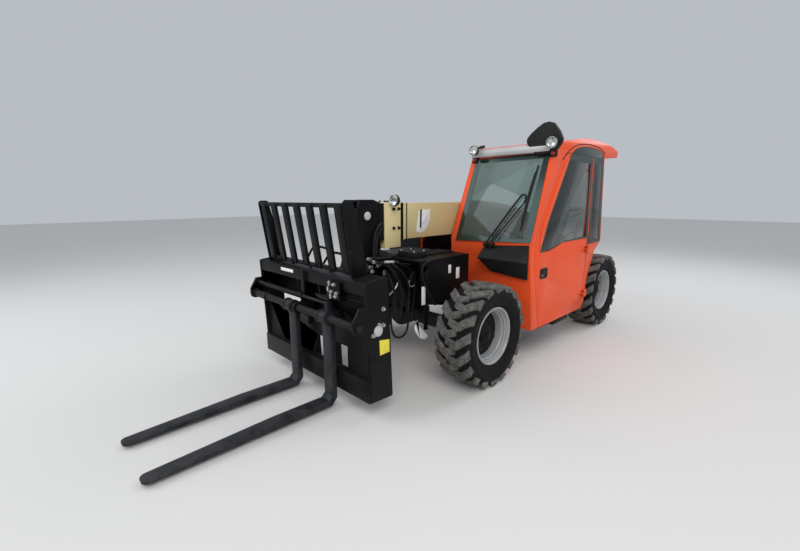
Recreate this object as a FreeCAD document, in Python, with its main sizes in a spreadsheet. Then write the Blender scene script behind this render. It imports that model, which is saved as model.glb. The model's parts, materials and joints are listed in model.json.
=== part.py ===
import FreeCAD, Part
import Sketcher
import math
import os

# Compact telehandler with a pallet fork carriage, at rest with its boom down.
# X points forward, Y to the machine's left and Z up, from the ground, in millimetres.
# Outlines are measured from the front or the rear axle, so they follow the wheelbase.

Vector = FreeCAD.Vector
doc = FreeCAD.newDocument("telehandler")

# Driving sizes: name, value and what it measures
size_table = [
    ("front_axle_x", 250, "front wheel centres, ahead of the middle of the machine"),
    ("wheelbase", 2290, "between the axles"),
    ("wheel_track", 1505, "between the middles of the left and right tyres"),
    ("tyre_radius", 413, "over the lugs"),
    ("tyre_width", 305, "over the shoulders"),
    ("lug_height", 22, "tread lugs above the carcass"),
    ("bead_radius", 214, "where the tyre sits on the rim"),
    ("rim_lip_radius", 232, "outer edge of the rim flange"),
    ("rim_width", 250, "over the two flanges"),
    ("rim_wall", 12, "rim and disc metal"),
    ("disc_inset", 62, "disc behind the outer flange"),
    ("hub_radius", 72, "wheel hub"),
    ("hub_rise", 30, "wheel hub in front of the disc"),
    ("kingpin_inset", 60, "kingpin inside the middle of the tyre"),
    ("kingpin_radius", 19, "kingpin"),
    ("axle_radius", 62, "axle tubes"),
    ("bowl_radius", 120, "differential housing"),
    ("yoke_height", 240, "over the arms that hold a kingpin"),
    ("yoke_arm", 24, "thickness of the arms that hold a kingpin"),
    ("running_gap", 6, "between pieces that move past each other"),
    ("pin_gap", 0.5, "round a pin in its bore"),
    ("seat_gap", 0.3, "between pieces that rest on each other"),
    ("plate", 20, "frame plates"),
    ("boom_y", -130, "middle of the boom, across the machine"),
    ("boom_width", 220, "outside of the outer boom"),
    ("boom_bottom", 707, "underside of the outer boom above the axles"),
    ("boom_height", 315, "outside of the outer boom"),
    ("boom_wall", 10, "outer boom plate"),
    ("boom_tail", 350, "rear end of the outer boom behind the rear axle"),
    ("boom_reach", 340, "front end of the outer boom's collar ahead of the front axle"),
    ("collar_length", 190, "front collar along the boom"),
    ("collar_drop", 65, "collar below the boom"),
    ("collar_gap", 38, "recess between the collar and the boom's cladding"),
    ("pivot_back", 250, "boom pivot behind the rear axle"),
    ("pivot_rise", 150, "boom pivot above the underside of the boom"),
    ("pivot_radius", 32, "boom pivot pin"),
    ("slide_gap", 8, "wear pads between the two booms"),
    ("inner_wall", 9, "inner boom plate"),
    ("inner_setback", 240, "rear end of the inner boom inside the outer one"),
    ("head_plate", 18, "side plates of the boom head"),
    ("head_length", 278, "boom head ahead of the outer boom"),
    ("tilt_reach", 660, "tilt pivot ahead of the front axle"),
    ("tilt_drop", 13, "tilt pivot below the axles"),
    ("tilt_pin_radius", 22, "tilt pivot pin"),
    ("tilt_base_back", 130, "upper pin of the tilt cylinder behind the tilt pivot"),
    ("tilt_base_drop", 99, "upper pin of the tilt cylinder below the top of the boom"),
    ("tilt_eye_ahead", 130, "lower pin of the tilt cylinder ahead of the tilt pivot"),
    ("tilt_eye_rise", 170, "lower pin of the tilt cylinder above the tilt pivot"),
    ("tilt_barrel_radius", 46, "tilt cylinder barrel"),
    ("tilt_rod_radius", 26, "tilt cylinder rod"),
    ("lift_base_ahead", 140, "lower pin of the lift cylinder ahead of the rear axle"),
    ("lift_base_rise", 167, "lower pin of the lift cylinder above the axles"),
    ("lift_eye_ahead", 1040, "upper pin of the lift cylinder ahead of the rear axle"),
    ("lift_eye_drop", 50, "upper pin of the lift cylinder below the boom"),
    ("lift_barrel_radius", 58, "lift cylinder barrel"),
    ("lift_rod_radius", 32, "lift cylinder rod"),
    ("cylinder_pin", 24, "pins of the lift and tilt cylinders"),
    ("rail_left_y", 110, "outer face of the left frame rail"),
    ("rail_right_y", -370, "outer face of the right frame rail"),
    ("rail_height", 307, "top of the frame rails above the axles"),
    ("rail_belly", 83, "bottom of the rails below the axles' height, between the axles"),
    ("rail_arch", 87, "bottom of the rails above the axles"),
    ("arch_half", 420, "half the length of a wheel arch in the rails"),
    ("rail_tail", 400, "rear end of the rails behind the rear axle"),
    ("nose_reach", 305, "front of the frame ahead of the front axle"),
    ("nose_length", 640, "front box along the machine"),
    ("nose_height", 572, "top of the front box above the axles"),
    ("nose_left_y", 370, "outer face of the front box on the left"),
    ("tie_down_radius", 25, "tie-down hole in the front box"),
    ("ballast_depth", 104, "rear ballast along the machine"),
    ("ballast_half", 380, "half the width of the rear ballast"),
    ("cab_inner_y", 5, "cab wall beside the boom"),
    ("cab_outer_y", 860, "outer face of the cab and its door"),
    ("cab_step_y", 122, "cab wall beside the frame rail"),
    ("cab_step_rise", 327, "step in the cab over the rail, above the axles"),
    ("cab_wall", 40, "cab wall panels"),
    ("cab_drop", 113, "lower edge of the cab below the axles"),
    ("cab_height", 1600, "from the lower edge of the cab to its roof"),
    ("floor_rise", 127, "cab floor above the axles"),
    ("post_depth", 70, "side frame round the door"),
    ("door_depth", 42, "thickness of the door"),
    ("door_gap", 7, "seam round the door"),
    ("door_hinge_ahead", 543, "door hinges ahead of the rear axle"),
    ("glass_thick", 6, "window glass"),
    ("roof_rise", 152, "top of the roof above the cab's walls"),
    ("hood_outer_y", -880, "outer face of the engine hood"),
    ("hood_inner_y", -385, "hinged edge of the engine hood"),
    ("hood_rise", 667, "top of the engine hood above the axles"),
    ("hood_low", 17, "bottom of the engine hood above the axles"),
    ("hood_inset", 520, "hood from each axle"),
    ("hood_wall", 30, "engine hood panel"),
    ("carriage_left_y", 600, "left end of the carriage"),
    ("carriage_right_y", -850, "right end of the carriage"),
    ("carriage_ahead", 176, "back of the carriage ahead of the tilt pivot"),
    ("carriage_depth", 193, "carriage from back to front"),
    ("carriage_drop", 282, "bottom of the carriage below the tilt pivot"),
    ("carriage_height", 857, "end plates of the carriage"),
    ("carriage_lean", 39, "top of the end plates ahead of their bottom"),
    ("carriage_plate", 22, "carriage end plates"),
    ("shaft_ahead", 465, "fork shaft ahead of the tilt pivot"),
    ("shaft_rise", 270, "fork shaft above the tilt pivot"),
    ("shaft_radius", 26, "fork shaft"),
    ("eye_radius", 45, "collar of a fork on its shaft"),
    ("fork_width", 100, "one fork"),
    ("fork_thick", 40, "fork blade and shank"),
    ("fork_length", 1220, "fork blade ahead of its shank"),
    ("fork_drop", 375, "underside of the forks below the tilt pivot"),
    ("fork_left_y", 225, "middle of the left fork"),
    ("fork_right_y", -236, "middle of the right fork"),
    ("backrest_height", 485, "load backrest above the carriage"),
    ("backrest_lean", 72, "top of the backrest ahead of its foot"),
    ("backrest_left_y", 406, "left end of the backrest"),
    ("backrest_right_y", -766, "right end of the backrest"),
    ("bar_width", 48, "one bar of the backrest, from the front"),
    ("bar_thick", 12, "one bar of the backrest, from back to front"),
    ("seat_y", 430, "middle of the driver's seat"),
    ("seat_ahead", 910, "middle of the seat cushion ahead of the rear axle"),
    ("seat_rise", 467, "seat cushion above the axles"),
    ("steering_radius", 180, "steering wheel"),
]

sheet = doc.addObject("Spreadsheet::Sheet", "sizes")
for row, (alias, value, words) in enumerate(size_table, 1):
    sheet.set("A%d" % row, alias)
    sheet.set("B%d" % row, str(value))
    sheet.set("C%d" % row, words)
    sheet.setAlias("B%d" % row, alias)
doc.recompute()


class Size:
    """A length and the sheet formula that it comes from."""

    def __init__(self, value, formula):
        self.value = float(value)
        self.formula = formula

    def __float__(self):
        return self.value

    def __add__(self, other):
        other = as_size(other)
        return Size(self.value + other.value, "(%s + %s)" % (self.formula, other.formula))

    def __sub__(self, other):
        other = as_size(other)
        return Size(self.value - other.value, "(%s - %s)" % (self.formula, other.formula))

    def __mul__(self, factor):
        return Size(self.value * factor, "(%s * %r)" % (self.formula, float(factor)))

    def __truediv__(self, factor):
        return self * (1.0 / factor)

    def __neg__(self):
        return self * -1

    __radd__ = __add__
    __rmul__ = __mul__

    def __rsub__(self, other):
        return as_size(other) - self


def as_size(number):
    return number if isinstance(number, Size) else Size(number, "(%r)" % float(number))


S = type("Sizes", (), {alias: Size(value, "sizes." + alias) for alias, value, words in size_table})

front_x = S.front_axle_x
rear_x = S.front_axle_x - S.wheelbase
axle_z = S.tyre_radius


def from_front(x, z):
    """A point by its distance ahead of the front axle and above it."""
    return front_x + x, axle_z + z


def from_rear(x, z):
    return rear_x + x, axle_z + z


def bind(feature, prop, length):
    feature.setExpression(prop, as_size(length).formula)


# Sketches lie on a body's own planes: XY looks down, XZ looks along Y, YZ along X
plane_roles = {"XY": "XY_Plane", "XZ": "XZ_Plane", "YZ": "YZ_Plane"}


def outline(body, name, plane, points, offset):
    sketch = body.newObject("Sketcher::SketchObject", name)
    role = plane_roles[plane]
    base = [feature for feature in body.Origin.OriginFeatures if feature.Role == role][0]
    sketch.AttachmentSupport = [(base, "")]
    sketch.MapMode = "FlatFace"
    bind(sketch, "AttachmentOffset.Base.z", offset)
    corners = [Vector(float(point[0]), float(point[1]), 0) for point in points]
    sides = [Part.LineSegment(corner, corners[(index + 1) % len(corners)])
             for index, corner in enumerate(corners)]
    sketch.addGeometry(sides, False)
    rules = []
    for index in range(len(corners)):
        rules.append(Sketcher.Constraint("Coincident", index, 2, (index + 1) % len(corners), 1))
    lengths = []
    for index, point in enumerate(points):
        for kind, length in zip(("DistanceX", "DistanceY"), point):
            lengths.append((len(rules), length))
            rules.append(Sketcher.Constraint(kind, -1, 1, index, 1, float(length)))
    sketch.addConstraint(rules)
    for number, length in lengths:
        sketch.setExpression("Constraints[%d]" % number, as_size(length).formula)
    return sketch


def prism(name, plane, points, low, high):
    low, high = as_size(low), as_size(high)
    body = doc.addObject("PartDesign::Body", name)
    offset = -high if plane == "XZ" else low
    sketch = outline(body, name + "_outline", plane, points, offset)
    pad = body.newObject("PartDesign::Pad", name + "_pad")
    pad.Profile = sketch
    bind(pad, "Length", high - low)
    return body


def pocket(body, name, plane, points, low, high):
    low, high = as_size(low), as_size(high)
    offset = -low if plane == "XZ" else high
    sketch = outline(body, name + "_outline", plane, points, offset)
    cut = body.newObject("PartDesign::Pocket", name)
    cut.Profile = sketch
    bind(cut, "Length", high - low)
    return body


def flatten(point, plane):
    if plane == "XY":
        return Vector(point.x, point.y, 0)
    if plane == "XZ":
        return Vector(point.x, point.z, 0)
    return Vector(point.y, point.z, 0)


def round_corners(body, name, plane, radius, *corners):
    """Rounds the edges that stand on these corners of the outline."""
    doc.recompute()
    rough = body.Tip
    picked = []
    for number, edge in enumerate(rough.Shape.Edges, 1):
        if len(edge.Vertexes) != 2:
            continue
        flat = [flatten(vertex.Point, plane) for vertex in edge.Vertexes]
        if flat[0].distanceToPoint(flat[1]) > 0.01:
            continue
        if any(flat[0].distanceToPoint(Vector(float(u), float(v), 0)) < 0.5 for u, v in corners):
            picked.append("Edge%d" % number)
    fillet = body.newObject("PartDesign::Fillet", name)
    fillet.Base = (rough, picked)
    bind(fillet, "Radius", radius)
    body.Tip = fillet
    return body


def block(name, x, y, z):
    box = doc.addObject("Part::Box", name)
    for prop, axis, span in zip(("Length", "Width", "Height"), "xyz", (x, y, z)):
        bind(box, prop, as_size(span[1]) - span[0])
        bind(box, "Placement.Base." + axis, span[0])
    return box


rod_turns = {"x": (Vector(0, 1, 0), 90), "y": (Vector(1, 0, 0), -90), "z": (Vector(0, 0, 1), 0)}


def lay_along(bar, axis, centre, low, high):
    bar.Placement = FreeCAD.Placement(Vector(), FreeCAD.Rotation(*rod_turns[axis]))
    bind(bar, "Height", as_size(high) - low)
    across = [letter for letter in "xyz" if letter != axis]
    for letter, place in zip(across, centre):
        bind(bar, "Placement.Base." + letter, place)
    bind(bar, "Placement.Base." + axis, low)
    return bar


def rod(name, axis, centre, radius, low, high):
    bar = doc.addObject("Part::Cylinder", name)
    bind(bar, "Radius", radius)
    return lay_along(bar, axis, centre, low, high)


def many_sided(name, axis, centre, radius, low, high, sides):
    bar = doc.addObject("Part::Prism", name)
    bar.Polygon = sides
    bind(bar, "Circumradius", radius)
    return lay_along(bar, axis, centre, low, high)


def strut(name, start, end, middle_y, radius, first, last, sides=0):
    """A bar along the line from one pin to another, from first to last along it."""
    bar = doc.addObject("Part::Prism" if sides else "Part::Cylinder", name)
    if sides:
        bar.Polygon = sides
    run_x = as_size(end[0]) - start[0]
    run_z = as_size(end[1]) - start[1]
    reach = "sqrt(%s ^ 2 + %s ^ 2)" % (run_x.formula, run_z.formula)
    bar.Placement = FreeCAD.Placement(Vector(), FreeCAD.Rotation(Vector(0, 1, 0), 30))
    bar.setExpression("Placement.Rotation.Angle", "atan2(%s; %s)" % (run_x.formula, run_z.formula))
    bind(bar, "Circumradius" if sides else "Radius", radius)
    first = as_size(first)
    bar.setExpression("Height", "%s - %s" % (as_size(last).formula, first.formula))
    for letter, place, run in (("x", start[0], run_x), ("z", start[1], run_z)):
        formula = "%s + %s * %s / %s" % (as_size(place).formula, run.formula, first.formula, reach)
        bar.setExpression("Placement.Base." + letter, formula)
    bind(bar, "Placement.Base.y", middle_y)
    return bar


def pin_distance(start, end):
    run_x = as_size(end[0]) - start[0]
    run_z = as_size(end[1]) - start[1]
    reach = math.hypot(run_x.value, run_z.value)
    return Size(reach, "sqrt(%s ^ 2 + %s ^ 2)" % (run_x.formula, run_z.formula))


def join(name, *pieces):
    whole = doc.addObject("Part::MultiFuse", name)
    whole.Shapes = list(pieces)
    whole.Refine = True
    return whole


def group(name, *pieces):
    whole = doc.addObject("Part::Compound", name)
    whole.Links = list(pieces)
    return whole


def carve(name, base, *tools):
    whole = doc.addObject("Part::Cut", name)
    whole.Base = base
    whole.Tool = tools[0] if len(tools) == 1 else join(name + "_tools", *tools)
    whole.Refine = True
    return whole


def overlap(name, first, second):
    whole = doc.addObject("Part::Common", name)
    whole.Base = first
    whole.Tool = second
    return whole


def spread(low, high):
    """The two ends in order, for a piece that may lie on either side."""
    return (low, high) if float(low) <= float(high) else (high, low)


nodes = []


def keep(node, feature):
    feature.Label = node
    nodes.append(feature)
    return feature


# Wheels: rings of flat faces, from a profile of (radius, across) points set round the axle
wheel_sides = 36
lugs_in_row = 18


def polar(radius, across, angle):
    return Vector(radius * math.sin(angle), across, radius * math.cos(angle))


def face_through(points):
    return Part.Face(Part.makePolygon(points + points[:1]))


def ring_solid(profile, sides):
    faces = []
    for step in range(sides):
        first = 2 * math.pi * step / sides
        second = 2 * math.pi * (step + 1) / sides
        for start, end in zip(profile, profile[1:] + profile[:1]):
            if start[0] == end[0] == 0:
                continue
            corners = [polar(*start, first), polar(*end, first)]
            if end[0] > 0:
                corners.append(polar(*end, second))
            if start[0] > 0:
                corners.append(polar(*start, second))
            faces.append(face_through(corners))
    return Part.Solid(Part.Shell(faces))


def tyre_lug(middle, side, heading):
    """One bar of the tread, slanted from the tyre's middle out to its shoulder."""
    outer = S.tyre_radius.value
    inner = outer - S.lug_height.value - 8
    edge = S.tyre_width.value / 2
    half = 1.35 / lugs_in_row
    slant = 1.9 / lugs_in_row
    stations = ((4, -slant, inner), (edge - 2, 0.0, inner - 54))
    rungs = []
    for across, shift, foot in stations:
        angle = middle + heading * shift
        rungs.append([polar(foot, across * side, angle - half), polar(outer, across * side, angle - half * 0.8),
                      polar(outer, across * side, angle + half * 0.8), polar(foot, across * side, angle + half)])
    faces = [face_through(rungs[0]), face_through(rungs[-1])]
    near, far = rungs
    for here in range(4):
        after = (here + 1) % 4
        faces.append(face_through([near[here], near[after], far[after]]))
        faces.append(face_through([near[here], far[after], far[here]]))
    return Part.Solid(Part.Shell(faces))


def tyre_shape(heading):
    half = S.tyre_width.value / 2
    bead = S.bead_radius.value
    carcass = S.tyre_radius.value - S.lug_height.value
    seat = S.rim_width.value / 2 - S.rim_wall.value - S.seat_gap.value
    lip = S.rim_lip_radius.value + 2
    profile = [(bead, -seat), (lip, -seat), (carcass - 62, -half), (carcass, -half + 26),
               (carcass, half - 26), (carcass - 62, half), (lip, seat), (bead, seat)]
    pitch = 2 * math.pi / lugs_in_row
    bars = []
    for index in range(lugs_in_row):
        bars.append(tyre_lug(pitch * (index + 0.25), 1, heading))
        bars.append(tyre_lug(pitch * (index + 0.75), -1, heading))
    return ring_solid(profile, wheel_sides // 2).fuse(bars)


def rim_shape():
    half = S.rim_width.value / 2
    bead = S.bead_radius.value - S.seat_gap.value
    lip = S.rim_lip_radius.value
    wall = S.rim_wall.value
    well = bead - 24
    face = half - S.disc_inset.value
    hub = S.hub_radius.value
    top = face + S.hub_rise.value
    profile = [(0, top), (hub - 10, top), (hub, top - 10), (hub, face), (well - wall, face),
               (bead - wall, face + 16), (bead - wall, half), (lip, half), (lip, half - wall),
               (bead, half - wall), (well, face - 16), (well, -half + 50), (bead, -half + wall),
               (lip, -half + wall), (lip, -half), (bead - wall, -half), (well - wall, -half + 56),
               (well - wall, face - wall), (0, face - wall)]
    return ring_solid(profile, wheel_sides // 2)


def placed(name, shape, x, y, z, turn):
    feature = doc.addObject("Part::Feature", name)
    feature.Shape = shape
    feature.Placement = FreeCAD.Placement(Vector(), FreeCAD.Rotation(Vector(0, 0, 1), turn))
    for letter, place in zip("xyz", (x, y, z)):
        bind(feature, "Placement.Base." + letter, place)
    return feature


wheel_y = S.wheel_track / 2
kingpin_y = wheel_y - S.kingpin_inset
disc_back = wheel_y + S.rim_width / 2 - S.disc_inset - S.rim_wall
axle_ends = (("front", front_x), ("rear", rear_x))
wheel_sides_named = (("left", 1, 0), ("right", -1, 180))
rim = rim_shape()
tyres = {side: tyre_shape(-side) for side in (1, -1)}

for end, axle_x in axle_ends:
    for side_name, side, turn in wheel_sides_named:
        corner = end + "_" + side_name
        spot = (axle_x, wheel_y * side, axle_z, turn)
        keep("tyre_" + corner, placed("tyre_" + corner, tyres[side], *spot))
        keep("rim_" + corner, placed("rim_" + corner, rim, *spot))

# Knuckles turn on kingpins between the arms of each axle's yokes
pin_end = 8


def knuckle(corner, axle_x, side):
    half = S.yoke_height / 2 - S.yoke_arm - 1
    spans = spread(kingpin_y * side - 42, kingpin_y * side + 42)
    core = block(corner + "_core", (axle_x - 45, axle_x + 45), spans, (axle_z - half, axle_z + half))
    ends = spread(kingpin_y * side, (disc_back - S.seat_gap) * side)
    hub = many_sided(corner + "_hub", "y", (axle_x, axle_z), S.hub_radius - 4, ends[0], ends[1], 12)
    pin = many_sided(corner + "_pin", "z", (axle_x, kingpin_y * side), S.kingpin_radius,
                     axle_z - half - S.yoke_arm - pin_end, axle_z + half + S.yoke_arm + pin_end, 16)
    return keep("knuckle_" + corner, join("knuckle_" + corner, core, hub, pin))


def axle(end, axle_x):
    tube = many_sided(end + "_tube", "y", (axle_x, axle_z), S.axle_radius, -kingpin_y + 70, kingpin_y - 70, 16)
    bowl = many_sided(end + "_bowl", "x", (S.boom_y, axle_z), S.bowl_radius, axle_x - 60, axle_x + 60, 16)
    cover = many_sided(end + "_cover", "x", (S.boom_y, axle_z), S.bowl_radius * 0.72, axle_x - 98, axle_x + 98, 16)
    pieces = [tube, bowl, cover]
    half = S.yoke_height / 2
    for number, side in enumerate((1, -1)):
        web_y = spread((kingpin_y - 88) * side, (kingpin_y - 60) * side)
        arm_y = spread((kingpin_y - 88) * side, (kingpin_y + 34) * side)
        pieces.append(block(end + "_web%d" % number, (axle_x - 45, axle_x + 45), web_y,
                            (axle_z - half, axle_z + half)))
        for level, low in enumerate((axle_z - half, axle_z + half - S.yoke_arm)):
            pieces.append(block(end + "_arm%d%d" % (number, level), (axle_x - 38, axle_x + 38), arm_y,
                                (low, low + S.yoke_arm)))
    for number, rail_y in enumerate((S.rail_left_y - S.plate, S.rail_right_y)):
        pieces.append(block(end + "_saddle%d" % number, (axle_x - 80, axle_x + 80),
                            (rail_y - 20, rail_y + S.plate + 20), (axle_z, axle_z + S.rail_arch)))
    body = join(end + "_axle_body", *pieces)
    bores = []
    for number, side in enumerate((1, -1)):
        bores.append(many_sided(end + "_bore%d" % number, "z", (axle_x, kingpin_y * side),
                                S.kingpin_radius + S.pin_gap, axle_z - half - 20, axle_z + half + 20, 16))
    return keep(end + "_axle", carve(end + "_axle", body, *bores))


for end, axle_x in axle_ends:
    axle(end, axle_x)
    for side_name, side, turn in wheel_sides_named:
        knuckle(end + "_" + side_name, axle_x, side)

# Main frame: two rails that arch over the axles, cross plates and the front box
rail_rear_x = rear_x - S.rail_tail
nose_x = front_x + S.nose_reach
nose_back_x = nose_x - S.nose_length
rail_top = axle_z + S.rail_height
belly_z = axle_z - S.rail_belly
arch_z = axle_z + S.rail_arch
nose_top = axle_z + S.nose_height
hood_top = axle_z + S.hood_rise
rail_points = [
    (rail_rear_x, arch_z), (rear_x + S.arch_half, arch_z), (rear_x + S.arch_half + 100, belly_z),
    (front_x - S.arch_half - 100, belly_z), (front_x - S.arch_half, arch_z), (nose_x - 140, arch_z),
    (nose_x - 140, arch_z + 75), (nose_x, nose_top - 151), (nose_x, nose_top), (nose_back_x, nose_top),
    (nose_back_x - 60, rail_top), (rail_rear_x, rail_top)]
boom_left = S.boom_y + S.boom_width / 2
boom_right = S.boom_y - S.boom_width / 2
between_rails = (S.rail_right_y + S.plate, S.rail_left_y - S.plate)
frame_pieces = []
for name, low in (("left", S.rail_left_y - S.plate), ("right", S.rail_right_y)):
    frame_pieces.append(prism("rail_" + name, "XZ", rail_points, low, low + S.plate))
cross_table = [("middle", rear_x + 660, belly_z, belly_z + 270), ("belly", front_x - 950, belly_z, belly_z + 310),
               ("front", nose_x - 200, arch_z, nose_top - 40)]
for name, x, low, high in cross_table:
    frame_pieces.append(block("cross_" + name, (x, x + S.plate), (S.rail_right_y, S.rail_left_y), (low, high)))
nose_points = [(nose_x, nose_top - 151), (nose_x, nose_top), (nose_back_x, nose_top), (nose_back_x, arch_z + 100),
               (nose_x - 140, arch_z + 100)]
frame_pieces.append(prism("nose_left", "XZ", nose_points, S.nose_left_y - S.plate, S.nose_left_y))
frame_pieces.append(block("nose_deck", (nose_back_x, nose_x), (S.rail_right_y, S.nose_left_y),
                          (nose_top - S.plate, nose_top)))
frame_pieces.append(block("nose_back", (nose_back_x, nose_back_x + S.plate), (S.rail_left_y, S.nose_left_y),
                          (arch_z + 100, nose_top)))
# Rail that the engine hood hinges on, and the arms that carry cab and engine
hood_rear_x = rear_x + S.hood_inset
hood_front_x = front_x - S.hood_inset
frame_pieces.append(block("hood_rail", (hood_rear_x + 40, hood_front_x - 40),
                          (S.rail_right_y, S.rail_right_y + 12), (rail_top, hood_top - 3)))
hinge_y = (S.hood_inner_y + S.rail_right_y) / 2
hinge_z = hood_top + 10
hinge_places = (hood_rear_x + 200, hood_front_x - 320)
for number, x in enumerate(hinge_places):
    frame_pieces.append(many_sided("hood_pin%d" % number, "x", (hinge_y, hinge_z), 6, x, x + 120, 12))
    for end, low in (("back", x), ("front", x + 108)):
        frame_pieces.append(block("hood_ear%d_%s" % (number, end), (low, low + 12),
                                  (hinge_y - 6, S.rail_right_y + 12), (hood_top - 6, hood_top + 18)))
cab_floor_z = axle_z + S.floor_rise
cab_foot_y = S.cab_outer_y - S.post_depth - 60
arm_top = cab_floor_z - S.plate - S.seat_gap
for name, x in (("front", front_x - 770), ("rear", rear_x + 600)):
    frame_pieces.append(block("cab_arm_" + name, (x, x + 90), (S.rail_left_y, cab_foot_y), (arm_top - 90, arm_top)))
engine_low = axle_z + 67
for name, x in (("front", front_x - 870), ("rear", rear_x + 740)):
    frame_pieces.append(block("engine_arm_" + name, (x, x + 80), (S.hood_outer_y + 80, S.rail_right_y),
                              (engine_low - 40, engine_low - S.seat_gap)))
tie_down = rod("tie_down", "y", (nose_x - 60, nose_top - 70), S.tie_down_radius,
               S.nose_left_y - S.plate - 5, S.nose_left_y + 5)
keep("main_frame", carve("main_frame", join("frame_solid", *frame_pieces), tie_down))

# Tower: two plates on cross plates between the rails carry the boom's pivot and the lift cylinder's lower pin
lift_base = from_rear(S.lift_base_ahead, S.lift_base_rise)
boom_low = axle_z + S.boom_bottom
boom_high = boom_low + S.boom_height
pivot = (rear_x - S.pivot_back, boom_low + S.pivot_rise)
tower_points = [
    (rail_rear_x, arch_z), (pivot[0] + 420, arch_z), (pivot[0] + 420, rail_top),
    (pivot[0] + 110, pivot[1] + 40), (pivot[0] + 70, pivot[1] + 90), (pivot[0] - 70, pivot[1] + 90),
    (rail_rear_x, pivot[1] - 60)]
tower_left = boom_left + S.running_gap
tower_right = boom_right - S.running_gap - S.plate
tower_pieces = []
for name, low in (("left", tower_left), ("right", tower_right)):
    side_plate = prism("tower_" + name, "XZ", tower_points, low, low + S.plate)
    round_corners(side_plate, "tower_round_" + name, "XZ", 60, tower_points[3], tower_points[4], tower_points[5])
    tower_pieces.append(side_plate)
for name, x, low, high in (("rear", rail_rear_x, arch_z, rail_top), ("front", pivot[0] + 230, arch_z + 45, rail_top - 20)):
    tower_pieces.append(block("tower_cross_" + name, (x, x + S.plate), between_rails, (low, high)))
for name, place, radius, sides in (("pivot_pin", pivot, S.pivot_radius, 20), ("lift_pin", lift_base, S.cylinder_pin, 16)):
    tower_pieces.append(many_sided(name, "y", place, radius, tower_right - 12, tower_left + S.plate + 12, sides))
keep("boom_tower", join("boom_tower", *tower_pieces))

# Rear ballast, engine, tank
ballast_x = rail_rear_x - S.ballast_depth
ballast_face = rail_rear_x - S.seat_gap
ballast_points = [
    (ballast_x, -S.ballast_half + 60), (ballast_x, S.ballast_half - 60), (ballast_x + 60, S.ballast_half),
    (ballast_face, S.ballast_half), (ballast_face, -S.ballast_half), (ballast_x + 60, -S.ballast_half)]
ballast = prism("ballast_block", "XY", ballast_points, arch_z - 30, rail_top + 290)
round_corners(ballast, "ballast_round", "XY", 40, ballast_points[0], ballast_points[1])
keep("ballast", ballast)
keep("engine_block", block("engine_block", (rear_x + 640, front_x - 730), (S.hood_outer_y + 90, S.rail_right_y - 30),
                           (engine_low, hood_top - 120)))
keep("fuel_tank", block("fuel_tank", (rear_x + 700, front_x - 690), (S.cab_step_y + 20, S.cab_outer_y - 130),
                        (belly_z + 5, arm_top - 90 - S.seat_gap)))

# Cab: its side outline, the door seam and the windows, all seen from the left
cab_low = axle_z - S.cab_drop
cab_top = cab_low + S.cab_height
side_in = S.cab_outer_y - S.post_depth
front_foot = (front_x - 630, cab_low)
front_knee = from_front(-542, 517)
screen_base = from_front(-535, 687)
screen_top = (front_x - 850, cab_top - 40)
roof_front = (front_x - 890, cab_top)
roof_rear = (rear_x + 250, cab_top)
back_waist = from_rear(159, 584)
arch_points = [from_rear(313, 485), from_rear(372, 370), from_rear(465, 187), from_rear(495, -46)]
rear_foot = (rear_x + 560, cab_low)
cab_side = [front_foot, front_knee, screen_base, screen_top, roof_front, roof_rear, back_waist, *arch_points,
            rear_foot]
# Corners of the door's seam, and which way the door lies from each
seam_table = [
    (front_x - 754, cab_low - 10, -1, 1), (*from_front(-602, 518), -1, 0), (*from_front(-614, 708), -1, 0),
    (*from_front(-732, 917), -1, 0), (front_x - 1038, cab_top - 79, -1, -0.5), (front_x - 1150, cab_top - 21, -0.3, -1),
    (rear_x + 563, cab_top - 21, 1, -1), (*from_rear(533, 647), 1, 0),
    (rear_x + S.door_hinge_ahead, cab_low - 10, 1, 1)]
door_way = [
    from_front(-810, -13), from_front(-670, 518), from_front(-680, 687), from_front(-795, 917),
    (front_x - 1090, cab_top - 125), (front_x - 1175, cab_top - 80), (rear_x + 620, cab_top - 80),
    from_rear(600, 647), from_rear(610, -13)]
door_window = [
    from_front(-700, 592), from_front(-890, 587), from_front(-1190, 651), from_rear(595, 667),
    (rear_x + 620, cab_top - 85), (front_x - 1180, cab_top - 85), (front_x - 1080, cab_top - 130),
    from_front(-785, 917), from_front(-712, 767)]
quarter_window = [
    from_rear(480, 647), from_rear(240, 617), (rear_x + 315, cab_top - 80), (rear_x + 510, cab_top - 80)]
seam_outline = [(x, z) for x, z, way_x, way_z in seam_table]
door_outline = [(S.door_gap * way_x + x, S.door_gap * way_z + z) for x, z, way_x, way_z in seam_table]
rebate_y = S.cab_outer_y - S.door_depth - S.running_gap
door_round = Size(60, "(60)")

side_frame = prism("side_frame", "XZ", cab_side, side_in, S.cab_outer_y)
round_corners(side_frame, "side_round", "XZ", 90, screen_base, front_knee)
pocket(side_frame, "door_rebate", "XZ", seam_outline, rebate_y, S.cab_outer_y)
round_corners(side_frame, "rebate_round", "XZ", door_round + S.door_gap, seam_outline[4], seam_outline[5],
              seam_outline[6])
pocket(side_frame, "door_way", "XZ", door_way, side_in, S.cab_outer_y)
pocket(side_frame, "quarter_cut", "XZ", quarter_window, side_in, S.cab_outer_y)
round_corners(side_frame, "quarter_round", "XZ", 35, *quarter_window)
step_z = axle_z + S.cab_step_rise
right_wall = prism("right_wall", "XZ", [
    (screen_base[0] - 60, step_z), screen_base, screen_top, roof_front, roof_rear, back_waist,
    arch_points[0], (arch_points[1][0], step_z)], S.cab_inner_y, S.cab_inner_y + S.cab_wall)
right_window = [from_front(-720, 717), (front_x - 1010, cab_top - 100), (rear_x + 340, cab_top - 100),
                from_rear(270, 677)]
pocket(right_wall, "right_cut", "XZ", right_window, S.cab_inner_y, S.cab_inner_y + S.cab_wall)
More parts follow.
